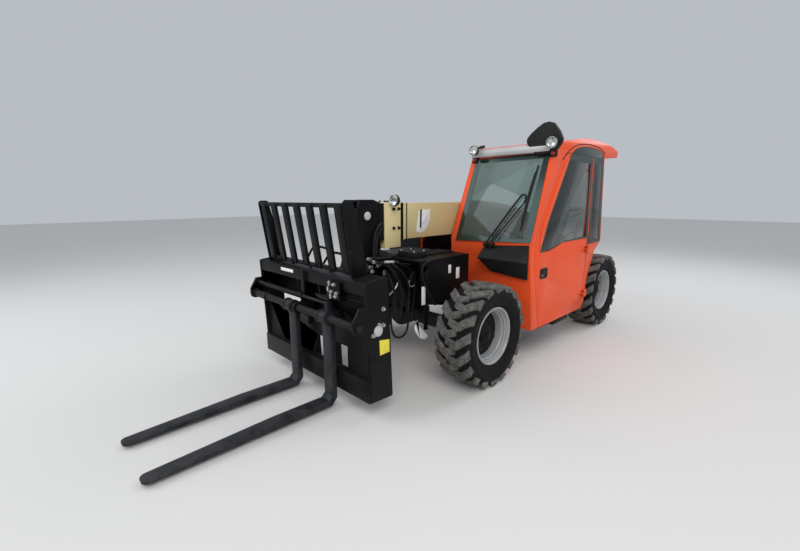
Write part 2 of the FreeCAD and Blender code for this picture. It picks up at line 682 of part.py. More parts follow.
front_wall = prism("front_wall", "XZ", [
    front_foot, front_knee, screen_base, (screen_base[0] - 50, screen_base[1]),
    (front_knee[0] - S.cab_wall, front_knee[1]), (front_foot[0] - S.cab_wall, cab_low)], S.cab_step_y, side_in)
shoulder_x = rear_x + 440
shoulder = block("shoulder", (shoulder_x, screen_base[0] - 30), (S.cab_inner_y, S.cab_step_y + S.plate),
                 (step_z, step_z + S.plate))
rail_wall = block("rail_wall", (shoulder_x, front_foot[0] - 30), (S.cab_step_y, S.cab_step_y + S.plate),
                  (cab_floor_z - S.plate, step_z + S.plate))
front_stub = prism("front_stub", "XZ", [
    (screen_base[0] - 50, step_z), (front_knee[0] - 20, step_z), front_knee, screen_base,
    (screen_base[0] - 50, screen_base[1])], S.cab_inner_y, S.cab_step_y)
header = prism("header", "XZ", [
    screen_top, roof_front, (front_x - 1010, cab_top), (front_x - 940, cab_top - 80),
    (screen_top[0], screen_top[1] - 40)], S.cab_inner_y, side_in)
post_width = Size(60, "(60)")
screen_post = prism("screen_post", "XZ", [
    screen_base, screen_top, (screen_top[0] - post_width, screen_top[1]),
    (screen_base[0] - post_width, screen_base[1])], S.cab_inner_y, S.cab_inner_y + post_width)
rear_wall = prism("rear_wall", "XZ", [
    roof_rear, back_waist, arch_points[0], arch_points[1], arch_points[2], (rear_x + 495, cab_floor_z),
    (rear_x + 535, cab_floor_z), from_rear(505, 187), from_rear(412, 370), from_rear(350, 512),
    from_rear(202, 607), (rear_x + 290, cab_top)], S.cab_inner_y, side_in)
window_sill = axle_z + 667
window_head = cab_top - 100
rear_window = [(S.cab_inner_y + 105, window_sill), (side_in - 60, window_sill), (side_in - 90, window_head),
               (S.cab_inner_y + 135, window_head)]
pocket(rear_wall, "rear_cut", "YZ", rear_window, rear_x + 140, rear_x + 340)
rear_trim = block("rear_trim", (rear_x + 340, rear_x + 540), (S.cab_inner_y, S.cab_step_y), (axle_z + 87, step_z))
floor = block("floor", (rear_x + 500, front_x - 650), (S.cab_step_y, side_in), (cab_floor_z - S.plate, cab_floor_z))
door_hinge_x = rear_x + S.door_hinge_ahead
door_hinge_y = S.cab_outer_y + 12
hinge_heights = (axle_z + 7, axle_z + 487)
hinge_pieces = []
for number, z in enumerate(hinge_heights):
    hinge_pieces.append(many_sided("door_pin%d" % number, "z", (door_hinge_x, door_hinge_y), 7, z, z + 80, 12))
    for end, low in (("low", z), ("high", z + 68)):
        hinge_pieces.append(block("door_ear%d_%s" % (number, end), (door_hinge_x - 50, door_hinge_x + 4),
                                  (S.cab_outer_y + 2, S.cab_outer_y + 18), (low, low + 12)))
    hinge_pieces.append(block("door_foot%d" % number, (door_hinge_x - 60, door_hinge_x - 18),
                              (S.cab_outer_y - 4, S.cab_outer_y + 18), (z, z + 80)))
cab_shell = join("cab_shell", side_frame, *hinge_pieces, right_wall, front_wall, shoulder, rail_wall, front_stub,
                 header, screen_post, rear_wall, floor)
keep("cab_frame", carve("cab_frame", cab_shell, rear_trim))

# Roof: one bowed shell with a tail that droops behind the rear window, and a pressed rail over the windscreen
roof_low = cab_top + S.seat_gap
roof_top = cab_top + S.roof_rise
roof_points = [
    (front_x - 880, roof_low), (front_x - 890, roof_top - 96), (front_x - 1120, roof_top - 18),
    (front_x - 1560, roof_top), (rear_x + 420, roof_top), (rear_x + 60, roof_top - 26),
    (rear_x - 145, roof_top - 71), (rear_x - 131, roof_top - 137), (rear_x + 140, roof_low)]
roof_side = prism("roof_side", "XZ", roof_points, S.cab_inner_y, S.cab_outer_y)
round_corners(roof_side, "roof_bow", "XZ", 700, roof_points[2], roof_points[3], roof_points[4], roof_points[5])
round_corners(roof_side, "roof_tail", "XZ", 22, roof_points[6], roof_points[7])
roof_section = [(S.cab_inner_y, roof_low - 80), (S.cab_inner_y, roof_top + 5), (S.cab_outer_y, roof_top + 5),
                (S.cab_outer_y, roof_low - 80)]
roof_across = prism("roof_across", "YZ", roof_section, rear_x - 200, front_x - 800)
round_corners(roof_across, "roof_edges", "YZ", 45, roof_section[1], roof_section[2])
roof_hollow = prism("roof_hollow", "XZ", [
    (front_x - 950, roof_low - 10), (front_x - 1010, roof_top - 92), (front_x - 1350, roof_top - 45),
    (rear_x + 420, roof_top - 40), (rear_x + 340, roof_top - 52), (rear_x + 300, roof_low - 10)],
    S.cab_inner_y + S.cab_wall, side_in)
keep("cab_roof", carve("cab_roof", overlap("roof_solid", roof_side, roof_across), roof_hollow))
visor_points = [
    (front_x - 810, cab_top - 34), (front_x - 795, cab_top + 5), (front_x - 825, cab_top + 40),
    (front_x - 888.4, cab_top + 50), (front_x - 880.2, cab_top + 4), (front_x - 854, cab_top - 33)]
visor = prism("visor_block", "XZ", visor_points, S.cab_inner_y + 20, S.cab_outer_y - 20)
round_corners(visor, "visor_round", "XZ", 24, visor_points[1], visor_points[2])
keep("roof_visor", visor)
keep("windshield", prism("windshield", "XZ", [
    screen_base, (screen_top[0], screen_top[1] - 40), (screen_top[0] - 8, screen_top[1] - 40),
    (screen_base[0] - 8, screen_base[1])], S.cab_inner_y + post_width, side_in))
quarter_glass = prism("quarter_glass", "XZ", quarter_window, S.cab_outer_y - 30, S.cab_outer_y - 30 + S.glass_thick)
round_corners(quarter_glass, "quarter_glass_round", "XZ", 35, *quarter_window)
right_glass = prism("right_glass", "XZ", right_window, S.cab_inner_y + 16, S.cab_inner_y + 16 + S.glass_thick)
rear_glass = prism("rear_glass_slab", "XZ", [
    from_rear(172, 630), (rear_x + 256, cab_top - 60), (rear_x + 264, cab_top - 60), from_rear(180, 630)],
    S.cab_inner_y + 60, side_in - 10)
rear_opening = prism("rear_opening", "YZ", rear_window, rear_x + 140, rear_x + 340)
keep("cab_glass", group("cab_glass", quarter_glass, right_glass, overlap("rear_glass", rear_glass, rear_opening)))

# Door: one thick panel hinged on the rear post, with its own glass and a sunken handle
door_skin = prism("door_skin", "XZ", door_outline, S.cab_outer_y - S.door_depth, S.cab_outer_y)
round_corners(door_skin, "door_round", "XZ", door_round, door_outline[4], door_outline[5], door_outline[6])
pocket(door_skin, "door_cut", "XZ", door_window, S.cab_outer_y - S.door_depth, S.cab_outer_y)
round_corners(door_skin, "window_round", "XZ", 45, door_window[0], door_window[3], door_window[4], door_window[5],
              door_window[6])
round_corners(door_skin, "sill_sweep", "XZ", 300, door_window[1], door_window[2])
handle_x, handle_z = from_front(-880, 382)
pocket(door_skin, "handle_recess", "XZ", [
    (handle_x - 45, handle_z - 50), (handle_x + 45, handle_z - 50), (handle_x + 45, handle_z + 50),
    (handle_x - 45, handle_z + 50)], S.cab_outer_y - S.door_depth / 2, S.cab_outer_y)
door_pieces = [door_skin]
door_bores = []
for number, z in enumerate(hinge_heights):
    door_pieces.append(many_sided("door_barrel%d" % number, "z", (door_hinge_x, door_hinge_y), 12, z + 14, z + 66, 12))
    door_pieces.append(block("door_leaf%d" % number, (door_hinge_x, door_hinge_x + 110),
                             (S.cab_outer_y - 4, S.cab_outer_y + 8), (z + 14, z + 66)))
    door_bores.append(many_sided("door_bore%d" % number, "z", (door_hinge_x, door_hinge_y), 7 + S.pin_gap, z, z + 80, 12))
keep("door_panel", carve("door_panel", join("door_solid", *door_pieces), *door_bores))
door_pane = prism("door_pane", "XZ", door_window, S.cab_outer_y - 24, S.cab_outer_y - 24 + S.glass_thick)
round_corners(door_pane, "pane_round", "XZ", 45, door_window[0], door_window[3], door_window[4], door_window[5],
              door_window[6])
round_corners(door_pane, "pane_sweep", "XZ", 300, door_window[1], door_window[2])
keep("door_glass", door_pane)

# Inside the cab
seat_x = rear_x + S.seat_ahead
seat_z = axle_z + S.seat_rise
keep("seat_base", block("seat_base", (seat_x - 170, seat_x + 170), (S.seat_y - 150, S.seat_y + 150),
                        (cab_floor_z + S.seat_gap, seat_z)))
cushion_x = (seat_x - 230, seat_x + 250)
cushion = prism("cushion", "XZ", [
    (cushion_x[0], seat_z + S.seat_gap), (cushion_x[1] - 30, seat_z + S.seat_gap), (cushion_x[1], seat_z + 30),
    (cushion_x[1] - 20, seat_z + 110), (cushion_x[0], seat_z + 95)], S.seat_y - 240, S.seat_y + 240)
keep("seat_cushion", cushion)
back_z = seat_z + 120
keep("seat_back", prism("seat_back", "XZ", [
    (seat_x - 230, back_z - 24.7), (seat_x - 110, back_z - 20.8), (seat_x - 165, back_z + 380), (seat_x - 215, back_z + 600),
    (seat_x - 285, back_z + 600), (seat_x - 300, back_z + 540)], S.seat_y - 230, S.seat_y + 230))
column_foot = (front_x - 700, cab_floor_z + S.seat_gap)
column_head = from_front(-840, 707)
column = prism("column_stem", "XZ", [
    (column_foot[0] - 30, column_foot[1]), (column_foot[0] + 30, column_foot[1]),
    (column_head[0] + 30, column_head[1]), (column_head[0] - 30, column_head[1])], S.seat_y - 40, S.seat_y + 40)
ring_lean = 25


def steering_ring():
    """A ring of flat faces round the tilted axis of the column."""
    radius = S.steering_radius.value
    profile = [(radius - 13, 0), (radius, -12), (radius + 13, 0), (radius, 12)]
    return ring_solid(profile, 20)


ring = placed("steering_ring", steering_ring(), column_head[0], S.seat_y, column_head[1] + 10, 0)
ring.Placement = FreeCAD.Placement(Vector(), FreeCAD.Rotation(Vector(0, 1, 0), -ring_lean).multiply(
    FreeCAD.Rotation(Vector(1, 0, 0), 90)))
for letter, place in zip("xyz", (column_head[0], S.seat_y, column_head[1] + 10)):
    bind(ring, "Placement.Base." + letter, place)
spoke_x = S.steering_radius * math.cos(math.radians(ring_lean))
spoke_z = S.steering_radius * math.sin(math.radians(ring_lean))
spoke = prism("steering_spoke", "XZ", [
    (column_head[0] + spoke_x, column_head[1] + 10 + spoke_z - 8), (column_head[0] + spoke_x, column_head[1] + 10 + spoke_z + 8),
    (column_head[0] - spoke_x, column_head[1] + 10 - spoke_z + 8), (column_head[0] - spoke_x, column_head[1] + 10 - spoke_z - 8)],
    S.seat_y - 20, S.seat_y + 20)
keep("steering_column", join("steering_column", column, ring, spoke))
keep("side_console", block("side_console", (rear_x + 790, front_x - 890),
                           (S.cab_inner_y + S.cab_wall + 5, S.seat_y - 250),
                           (step_z + S.plate + S.seat_gap, seat_z + 130)))

# Outside the cab: plastic cowl, lamps and mirror
keep("cowl", prism("cowl", "XZ", [
    from_front(-563.8, 357), from_front(-465, 397), from_front(-440, 457), from_front(-460, 627),
    from_front(-533, 682), from_front(-541.5, 517)], S.cab_step_y + 148, S.cab_outer_y - 40))
lamp_z = cab_top + 32
lamps = []
for name, y in (("left", S.cab_outer_y + 20), ("right", S.cab_inner_y + 83)):
    can = many_sided("lamp_can_" + name, "x", (y, lamp_z), 50, front_x - 790, front_x - 745, 12)
    stalk = prism("lamp_stalk_" + name, "XZ", [
        (front_x - 930, cab_top + 69.9), (front_x - 900, cab_top + 59.8), (front_x - 790, lamp_z + 14),
        (front_x - 790, lamp_z + 30), (front_x - 900, cab_top + 90), (front_x - 930, cab_top + 95)],
        y - 12 if name == "right" else S.cab_outer_y - 60, y + 12)
    lamps.append(join("lamp_" + name, can, stalk))
keep("cab_lamps", group("cab_lamps", *lamps))
mirror_y = S.cab_outer_y - 78
mirror_z = cab_top + 85
mirror_points = [(mirror_y - 155, mirror_z - 38), (mirror_y - 20, mirror_z - 140), (mirror_y + 60, mirror_z - 132),
                 (mirror_y + 155, mirror_z - 20), (mirror_y + 110, mirror_z + 110), (mirror_y + 20, mirror_z + 134),
                 (mirror_y - 60, mirror_z + 90)]
mirror_shell = prism("mirror_shell", "YZ", mirror_points, front_x - 738, front_x - 714)
mirror_arm = prism("mirror_arm", "XZ", [
    (front_x - 1000, roof_top - 58.4), (front_x - 960, roof_top - 71.9), (front_x - 735, mirror_z + 60),
    (front_x - 738, mirror_z + 76), (front_x - 960, roof_top + 12)], mirror_y - 40, mirror_y - 26)
keep("cab_mirror", join("cab_mirror", mirror_shell, mirror_arm))

# Engine hood on the right, open towards the frame, with louvres in its outer side
hood_low = axle_z + S.hood_low
hood_profile = [(S.hood_inner_y, hood_top), (S.hood_outer_y + 90, hood_top), (S.hood_outer_y, hood_top - 120),
                (S.hood_outer_y, hood_low), (S.hood_inner_y, hood_low)]
hood_body = prism("hood_body", "YZ", hood_profile, hood_rear_x, hood_front_x)
round_corners(hood_body, "hood_round", "YZ", 110, hood_profile[1], hood_profile[2])
louvre_pitch = 62
for index in range(6):
    low = hood_low + 110 + louvre_pitch * index
    pocket(hood_body, "louvre%d" % index, "XZ", [
        (hood_rear_x + 160, low), (hood_rear_x + 620, low), (hood_rear_x + 620, low + 26),
        (hood_rear_x + 160, low + 26)], S.hood_outer_y, S.hood_outer_y + S.hood_wall + 5)
hood_void = prism("hood_void", "YZ", [
    (S.hood_inner_y + 5, hood_top - S.hood_wall), (S.hood_outer_y + 100, hood_top - S.hood_wall),
    (S.hood_outer_y + S.hood_wall, hood_top - 130), (S.hood_outer_y + S.hood_wall, hood_low - 5),
    (S.hood_inner_y + 5, hood_low - 5)], hood_rear_x + S.hood_wall, hood_front_x - S.hood_wall)
hood_pieces = [carve("hood_shell", hood_body, hood_void)]
hinge_bores = []
for number, x in enumerate(hinge_places):
    hood_pieces.append(many_sided("hood_barrel%d" % number, "x", (hinge_y, hinge_z), 11, x + 14, x + 106, 12))
    hood_pieces.append(block("hood_leaf%d" % number, (x + 14, x + 106), (S.hood_inner_y - 60, hinge_y - 4),
                             (hood_top - 6, hood_top + 6)))
    hinge_bores.append(many_sided("hood_bore%d" % number, "x", (hinge_y, hinge_z), 6 + S.pin_gap, x, x + 120, 12))
keep("engine_hood", carve("engine_hood", join("hood_solid", *hood_pieces), *hinge_bores))

# Outer boom: a box tube with a collar at its mouth and lugs for the lift cylinder
boom_rear_x = rear_x - S.boom_tail
boom_front_x = front_x + S.boom_reach
collar_x = boom_front_x - S.collar_length
outer_tube = block("outer_tube", (boom_rear_x, boom_front_x), (boom_right, boom_left), (boom_low, boom_high))
collar_points = [(collar_x, boom_low - S.collar_drop), (boom_front_x, boom_low - S.collar_drop),
                 (boom_front_x, boom_high + 6), (collar_x, boom_high + 6)]
collar = prism("collar", "XZ", collar_points, boom_right - 6, boom_left + 6)
band = block("collar_band", (collar_x - S.collar_gap - 14, collar_x - S.collar_gap),
             (boom_right - 5, boom_left + 5), (boom_low - 5, boom_high + 5))
lift_eye = (rear_x + S.lift_eye_ahead, boom_low - S.lift_eye_drop)
lug_inside = S.boom_width / 2 - 48
lift_lugs = []
for name, low in (("left", S.boom_y + lug_inside), ("right", S.boom_y - lug_inside - S.plate)):
    lug_points = [
        (lift_eye[0] - 170, boom_low + 2), (lift_eye[0] - 55, lift_eye[1] - 55), (lift_eye[0] + 55, lift_eye[1] - 55),
        (lift_eye[0] + 170, boom_low + 2)]
    lug = prism("lift_lug_" + name, "XZ", lug_points, low, low + S.plate)
    round_corners(lug, "lift_lug_round_" + name, "XZ", 45, lug_points[1], lug_points[2])
    lift_lugs.append(lug)
    outside = spread(low + S.plate / 2, low + S.plate / 2 + (24 if name == "left" else -24))
    lift_lugs.append(many_sided("lift_boss_" + name, "y", lift_eye, S.cylinder_pin + 14, outside[0], outside[1], 12))
front_pads = []
pad_reach = S.slide_gap - S.seat_gap
pad_x = (boom_front_x - 120, boom_front_x - 10)
pad_half = S.boom_width / 2 - 40
for name, low in (("low", boom_low + S.boom_wall), ("high", boom_high - S.boom_wall - pad_reach)):
    front_pads.append(block("front_pad_" + name, pad_x, (S.boom_y - pad_half, S.boom_y + pad_half),
                            (low, low + pad_reach)))
for name, low in (("left", boom_left - S.boom_wall - pad_reach), ("right", boom_right + S.boom_wall)):
    front_pads.append(block("front_pad_" + name, pad_x, (low, low + pad_reach), (boom_low + 50, boom_high - 50)))
boom_void = block("boom_void", (boom_rear_x - 5, boom_front_x + 5), (boom_right + S.boom_wall, boom_left - S.boom_wall),
                  (boom_low + S.boom_wall, boom_high - S.boom_wall))
pivot_bore = many_sided("pivot_bore", "y", pivot, S.pivot_radius + S.pin_gap, boom_right - 5, boom_left + 5, 20)
pivot_tube = many_sided("pivot_tube", "y", pivot, S.pivot_radius + 18, boom_right, boom_left, 20)
outer_body = carve("outer_body", join("outer_solid", outer_tube, collar, band, *lift_lugs), boom_void)
keep("outer_boom", join("outer_boom", carve("outer_bored", join("outer_piped", outer_body, pivot_tube), pivot_bore),
                        *front_pads))
keep("boom_lamp", many_sided("boom_lamp", "x", (boom_left - 30, boom_high + 6.3 + 50), 50, collar_x + 40,
                             collar_x + 105, 12))

# Inner boom: slides inside the outer one and carries the head
pad = S.boom_wall + S.slide_gap
inner_rear_x = boom_rear_x + S.inner_setback
inner_front_x = boom_front_x + 40
inner_outer = block("inner_tube", (inner_rear_x, inner_front_x), (boom_right + pad, boom_left - pad),
                    (boom_low + pad, boom_high - pad))
inner_void = block("inner_void", (inner_rear_x - 5, boom_front_x - 60),
                   (boom_right + pad + S.inner_wall, boom_left - pad - S.inner_wall),
                   (boom_low + pad + S.inner_wall, boom_high - pad - S.inner_wall))
rear_pads = []
pad_x = (inner_rear_x + 10, inner_rear_x + 160)
for name, low in (("low", boom_low + S.boom_wall + S.seat_gap), ("high", boom_high - pad)):
    rear_pads.append(block("rear_pad_" + name, pad_x, (S.boom_y - pad_half, S.boom_y + pad_half),
                           (low, low + pad_reach)))
for name, low in (("left", boom_left - pad), ("right", boom_right + S.boom_wall + S.seat_gap)):
    rear_pads.append(block("rear_pad_" + name, pad_x, (low, low + pad_reach), (boom_low + 50, boom_high - 50)))
keep("inner_boom", join("inner_boom", carve("inner_hollow", inner_outer, inner_void), *rear_pads))

# Boom head: two gooseneck plates that drop to the tilt pivot, closed in front and behind
tilt = (front_x + S.tilt_reach, axle_z - S.tilt_drop)
tilt_base = (tilt[0] - S.tilt_base_back, boom_high - S.tilt_base_drop)
tilt_eye = (tilt[0] + S.tilt_eye_ahead, tilt[1] + S.tilt_eye_rise)
head_x = boom_front_x + 45
head_front = boom_front_x + S.head_length
head_points = [
    (head_x, boom_low), (head_x, boom_high + 5), (head_x + 65, boom_high + 29), (head_front - 28, boom_high + 29),
    (head_front, boom_high - 5), (head_front, boom_low - 140), (tilt[0] + 40, tilt[1] + 20),
    (tilt[0] + 30, tilt[1] - 35), (tilt[0] - 30, tilt[1] - 40), (tilt[0] - 60, tilt[1]),
    (head_front - 78, boom_low - 220), (head_x + 65, boom_low - 130), (head_x + 25, boom_low - 120)]
head_pieces = []
for name, low in (("left", boom_left - S.head_plate), ("right", boom_right)):
    head_side = prism("head_side_" + name, "XZ", head_points, low, low + S.head_plate)
    round_corners(head_side, "head_bend_" + name, "XZ", 90, head_points[2], head_points[4])
    round_corners(head_side, "head_neck_" + name, "XZ", 60, head_points[5], head_points[10], head_points[11])
    round_corners(head_side, "head_foot_" + name, "XZ", 28, head_points[7], head_points[8])
    head_pieces.append(head_side)
head_span = (boom_right, boom_left)
head_pieces.append(block("head_back", (inner_front_x + S.seat_gap, head_x + 30), head_span,
                         (boom_low - 110, boom_high + 5)))
head_pieces.append(block("head_cap", (head_x + 65, head_front - 80), head_span, (boom_high + 5, boom_high + 29)))
head_pieces.append(many_sided("tilt_base_pin", "y", tilt_base, S.cylinder_pin, boom_right - 8, boom_left + 8, 16))
head_pieces.append(many_sided("tilt_pin", "y", tilt, S.tilt_pin_radius, boom_right - 30, boom_left + 30, 16))
keep("boom_head", join("boom_head", *head_pieces))

# Cylinders: barrel and rod between two pins, the rod's eye with its pin inside the lugs


def cylinder_pair(name, base, eye, barrel_radius, rod_radius, dead, half_width, rod_start):
    middle_y = S.boom_y
    reach = pin_distance(base, eye)
    barrel_end = reach - dead
    low, high = middle_y - half_width, middle_y + half_width
    base_eye = many_sided(name + "_base_eye", "y", base, S.cylinder_pin + 20, low, high, 16)
    tube = strut(name + "_tube", base, eye, middle_y, barrel_radius, S.cylinder_pin + 8, barrel_end)
    gland = strut(name + "_gland", base, eye, middle_y, barrel_radius + 6, barrel_end - 45, barrel_end - 5, 16)
    bore_radius = (rod_radius + S.pin_gap) / math.cos(math.pi / 16)
    bore = strut(name + "_bore", base, eye, middle_y, bore_radius, S.cylinder_pin + 60, barrel_end + 5, 16)
    base_bore = many_sided(name + "_base_bore", "y", base, S.cylinder_pin + S.pin_gap, low - 5, high + 5, 16)
    keep(name + "_barrel", carve(name + "_barrel", join(name + "_case", base_eye, tube, gland), bore, base_bore))
    rod_eye = many_sided(name + "_rod_eye", "y", eye, S.cylinder_pin + 16, low, high, 16)
    pin = many_sided(name + "_eye_pin", "y", eye, S.cylinder_pin, low - 12, high + 12, 12)
    stem = strut(name + "_stem", base, eye, middle_y, rod_radius, rod_start, reach - S.cylinder_pin - 6)
    keep(name + "_rod", join(name + "_rod", rod_eye, pin, stem))


cylinder_pair("lift", lift_base, lift_eye, S.lift_barrel_radius, S.lift_rod_radius, Size(125, "(125)"),
              Size(35, "(35)"), Size(95, "(95)"))
cylinder_pair("tilt", tilt_base, tilt_eye, S.tilt_barrel_radius, S.tilt_rod_radius, Size(150, "(150)"),
              Size(30, "(30)"), Size(140, "(140)"))

# Coupler: two plates that hang the carriage on the tilt pin, tied by a tube in front of it
carriage_x = tilt[0] + S.carriage_ahead
carriage_low = tilt[1] - S.carriage_drop
carriage_top = carriage_low + S.carriage_height
panel_x = carriage_x + S.carriage_lean
coupler_back = panel_x - S.seat_gap
coupler_points = [
    (tilt[0] - 30, tilt[1] + 40), (tilt[0] - 44, tilt[1] - 20), (tilt[0] - 5, tilt[1] - 45),
    (tilt[0] + 50, tilt[1] - 50), (coupler_back, tilt[1] + 30), (coupler_back, carriage_top - 75),
    (coupler_back - 45, carriage_top - 45), (tilt[0] + 120, tilt[1] + 480), (tilt[0] + 92, tilt[1] + 240),
    (tilt[0] + 20, tilt[1] + 62)]
coupler_pieces = []
for name, low in (("left", boom_left + S.running_gap), ("right", boom_right - S.running_gap - S.plate)):
    side_plate = prism("coupler_" + name, "XZ", coupler_points, low, low + S.plate)
    round_corners(side_plate, "coupler_round_" + name, "XZ", 120, coupler_points[7], coupler_points[8])
    coupler_pieces.append(side_plate)
    boss = spread(low + S.plate / 2, low + S.plate / 2 + (30 if name == "left" else -30))
    coupler_pieces.append(many_sided("tilt_boss_" + name, "y", tilt_eye, S.cylinder_pin + 14, boss[0], boss[1], 12))
coupler_pieces.append(many_sided("coupler_tube", "y", (tilt[0] + 150, tilt[1] + 22), 28, boom_right - S.running_gap,
                                 boom_left + S.running_gap, 12))
coupler_bore = many_sided("coupler_bore", "y", tilt, S.tilt_pin_radius + S.pin_gap, boom_right - 60, boom_left + 60, 16)
keep("coupler", carve("coupler", join("coupler_solid", *coupler_pieces), coupler_bore))

# Carriage: leaning end plates, a windowed front plate, a low bar, an upper panel and a ledge
carriage_face = carriage_x + S.carriage_depth + S.carriage_lean
end_points = [
    (carriage_x, carriage_low), (carriage_x + S.carriage_depth, carriage_low + 8), (carriage_face, carriage_top - 22),
    (panel_x, carriage_top)]
carriage_pieces = []
for name, low in (("left", S.carriage_left_y - S.carriage_plate), ("right", S.carriage_right_y)):
    end_plate = prism("end_" + name, "XZ", end_points, low, low + S.carriage_plate)
    round_corners(end_plate, "end_round_" + name, "XZ", 18, *end_points)
    carriage_pieces.append(end_plate)
wide = (S.carriage_right_y + 2, S.carriage_left_y - 2)
carriage_pieces.append(block("back_panel", (panel_x, panel_x + 16), wide, (carriage_top - 340, carriage_top - 20)))
carriage_pieces.append(prism("ledge", "XZ", [
    (panel_x, carriage_top - 34), (carriage_face - 8, carriage_top - 56), (carriage_face - 8, carriage_top - 30),
    (panel_x, carriage_top - 8)], wide[0], wide[1]))
carriage_pieces.append(block("face_bar", (carriage_face - 26, carriage_face - 8), wide,
                             (carriage_top - 110, carriage_top - 30)))
plate_x = carriage_x + S.carriage_depth - 40
face_plate_points = [(wide[0], carriage_low + 60), (wide[1], carriage_low + 60), (wide[1], carriage_low + 490),
                     (wide[0], carriage_low + 490)]
face_plate = prism("face_plate", "YZ", face_plate_points, plate_x, plate_x + S.plate)
sill_z = carriage_low + 165
head_z = carriage_low + 330
for name, side in (("left", 1), ("right", -1)):
    window = [(S.boom_y + side * 20, sill_z), (S.boom_y + side * 80, head_z), (S.boom_y + side * 446, head_z),
              (S.boom_y + side * 446, sill_z)]
    pocket(face_plate, "face_window_" + name, "YZ", window, plate_x, plate_x + S.plate)
carriage_pieces.append(face_plate)
carriage_pieces.append(block("low_bar", (plate_x + 10, plate_x + 58), wide, (carriage_low + 8, sill_z - 5)))
rib_points = [
    (carriage_x + 6, carriage_low + 12), (plate_x + 10, carriage_low + 12), (plate_x + 10, carriage_low + 480),
    (carriage_face - 30, carriage_top - 100), (carriage_face - 30, carriage_top - 45), (panel_x, carriage_top - 24)]
rib_y = S.boom_width / 2 + S.running_gap + S.plate + S.seat_gap
for name, y in (("left", S.boom_y + rib_y), ("right", S.boom_y - rib_y - S.plate)):
    carriage_pieces.append(prism("rib_" + name, "XZ", rib_points, y, y + S.plate))
# Lugs that hold the fork shaft at its ends and in the middle
shaft = (tilt[0] + S.shaft_ahead, tilt[1] + S.shaft_rise)
lug_table = [("left", S.carriage_left_y - S.carriage_plate, 130), ("middle", S.boom_y - S.carriage_plate / 2, 45),
             ("right", S.carriage_right_y, 130)]
for name, y, rise in lug_table:
    lug_points = [
        (plate_x + 10, shaft[1] - 110), (shaft[0] - 20, shaft[1] - 45), (shaft[0] + 45, shaft[1] - 45),
        (shaft[0] + 45, shaft[1] + 40), (shaft[0] - 10, shaft[1] + rise), (plate_x + 10, shaft[1] + rise)]
    lug = prism("shaft_lug_" + name, "XZ", lug_points, y, y + S.carriage_plate)
    round_corners(lug, "shaft_lug_round_" + name, "XZ", 40, lug_points[2], lug_points[3])
    carriage_pieces.append(lug)
shaft_hole = rod("shaft_hole", "y", shaft, S.shaft_radius + S.pin_gap, S.carriage_right_y - 10,
                 S.carriage_left_y + 10)
middle_web = block("middle_web", (plate_x + 5, carriage_face - 26), (S.boom_y - 11, S.boom_y + 11),
                   (carriage_low + 400, shaft[1] + 45))
keep("carriage_frame", carve("carriage_frame", join("carriage_solid", middle_web, *carriage_pieces), shaft_hole))
keep("fork_shaft", rod("fork_shaft", "y", shaft, S.shaft_radius, S.carriage_right_y - 6, S.carriage_left_y + 6))

# Load backrest: leaning flat bars between two end plates, with a double rail on top
rest_foot = carriage_top + S.seat_gap
rest_top = carriage_top + S.backrest_height
rest_back = panel_x + 3
rest_front = carriage_face - 53
# The ledge below slopes down to the front
end_rise = [(rest_back, rest_foot - 8.3), (rest_front, rest_foot - 24.6), (rest_front + S.backrest_lean, rest_top),
            (rest_front + S.backrest_lean - 89, rest_top)]
rest_pieces = []
for name, low in (("left", S.backrest_left_y - S.bar_thick), ("right", S.backrest_right_y)):
    rest_end = prism("rest_end_" + name, "XZ", end_rise, low, low + S.bar_thick)
    round_corners(rest_end, "rest_end_round_" + name, "XZ", 25, end_rise[2], end_rise[3])
    rest_pieces.append(rest_end)
rest_wide = (S.backrest_right_y + 2, S.backrest_left_y - 2)
upright = [(rest_front - S.bar_thick, rest_foot), (rest_front, rest_foot),
           (rest_front + S.backrest_lean - 4, rest_top - 20),
           (rest_front + S.backrest_lean - 4 - S.bar_thick, rest_top - 20)]
bar_count = 7
first_bar = S.backrest_right_y + 66
bar_pitch = (S.backrest_left_y - S.backrest_right_y - 140) / (bar_count - 1)
for index in range(bar_count):
    y = first_bar + bar_pitch * index
    rest_pieces.append(prism("rest_bar%d" % index, "XZ", upright, y - S.bar_width / 2, y + S.bar_width / 2))
lean_share = S.backrest_lean / S.backrest_height.value
for name, back, low, high in (("front", 22, 44, 12), ("rear", 84, 40, 14)):
    x = rest_front + S.backrest_lean - back
    rest_pieces.append(block("rest_rail_" + name, (x, x + 14), rest_wide, (rest_top - low, rest_top - high)))
rest_pieces.append(block("rest_rail_foot", (rest_front - 30, rest_front - 2), rest_wide, (rest_foot, rest_foot + 28)))
keep("backrest", join("backrest", *rest_pieces))

# Fork positioner: a cylinder above the shaft, its rod on the left fork, and a valve block with two pipes
slide_z = shaft[1] + 87
slide_x = shaft[0] - 35
barrel = rod("positioner_barrel", "y", (slide_x, slide_z), 20, S.carriage_right_y + S.carriage_plate + 10,
             S.boom_y + 14)
barrel_bore = rod("positioner_bore", "y", (slide_x, slide_z), 11 + S.pin_gap, S.carriage_right_y + S.carriage_plate + 22,
                  S.boom_y + 20)
barrel_foot = block("positioner_foot", (slide_x - 30, slide_x + 16),
                    (S.carriage_right_y + S.carriage_plate + S.seat_gap, S.carriage_right_y + S.carriage_plate + 16),
                    (slide_z - 22, slide_z + 22))
valve_x = (carriage_face - 70, carriage_face - 26.3)
valve = block("valve_block", valve_x, (S.fork_left_y - 55, S.fork_left_y + 75), (carriage_top - 200, carriage_top - 112))
pipes = []
for number in range(2):
    pipes.append(many_sided("valve_pipe%d" % number, "y", (carriage_face - 48, carriage_top - 140 - 30 * number), 9,
                            S.fork_left_y + 70, S.carriage_left_y - S.carriage_plate - S.seat_gap, 8))
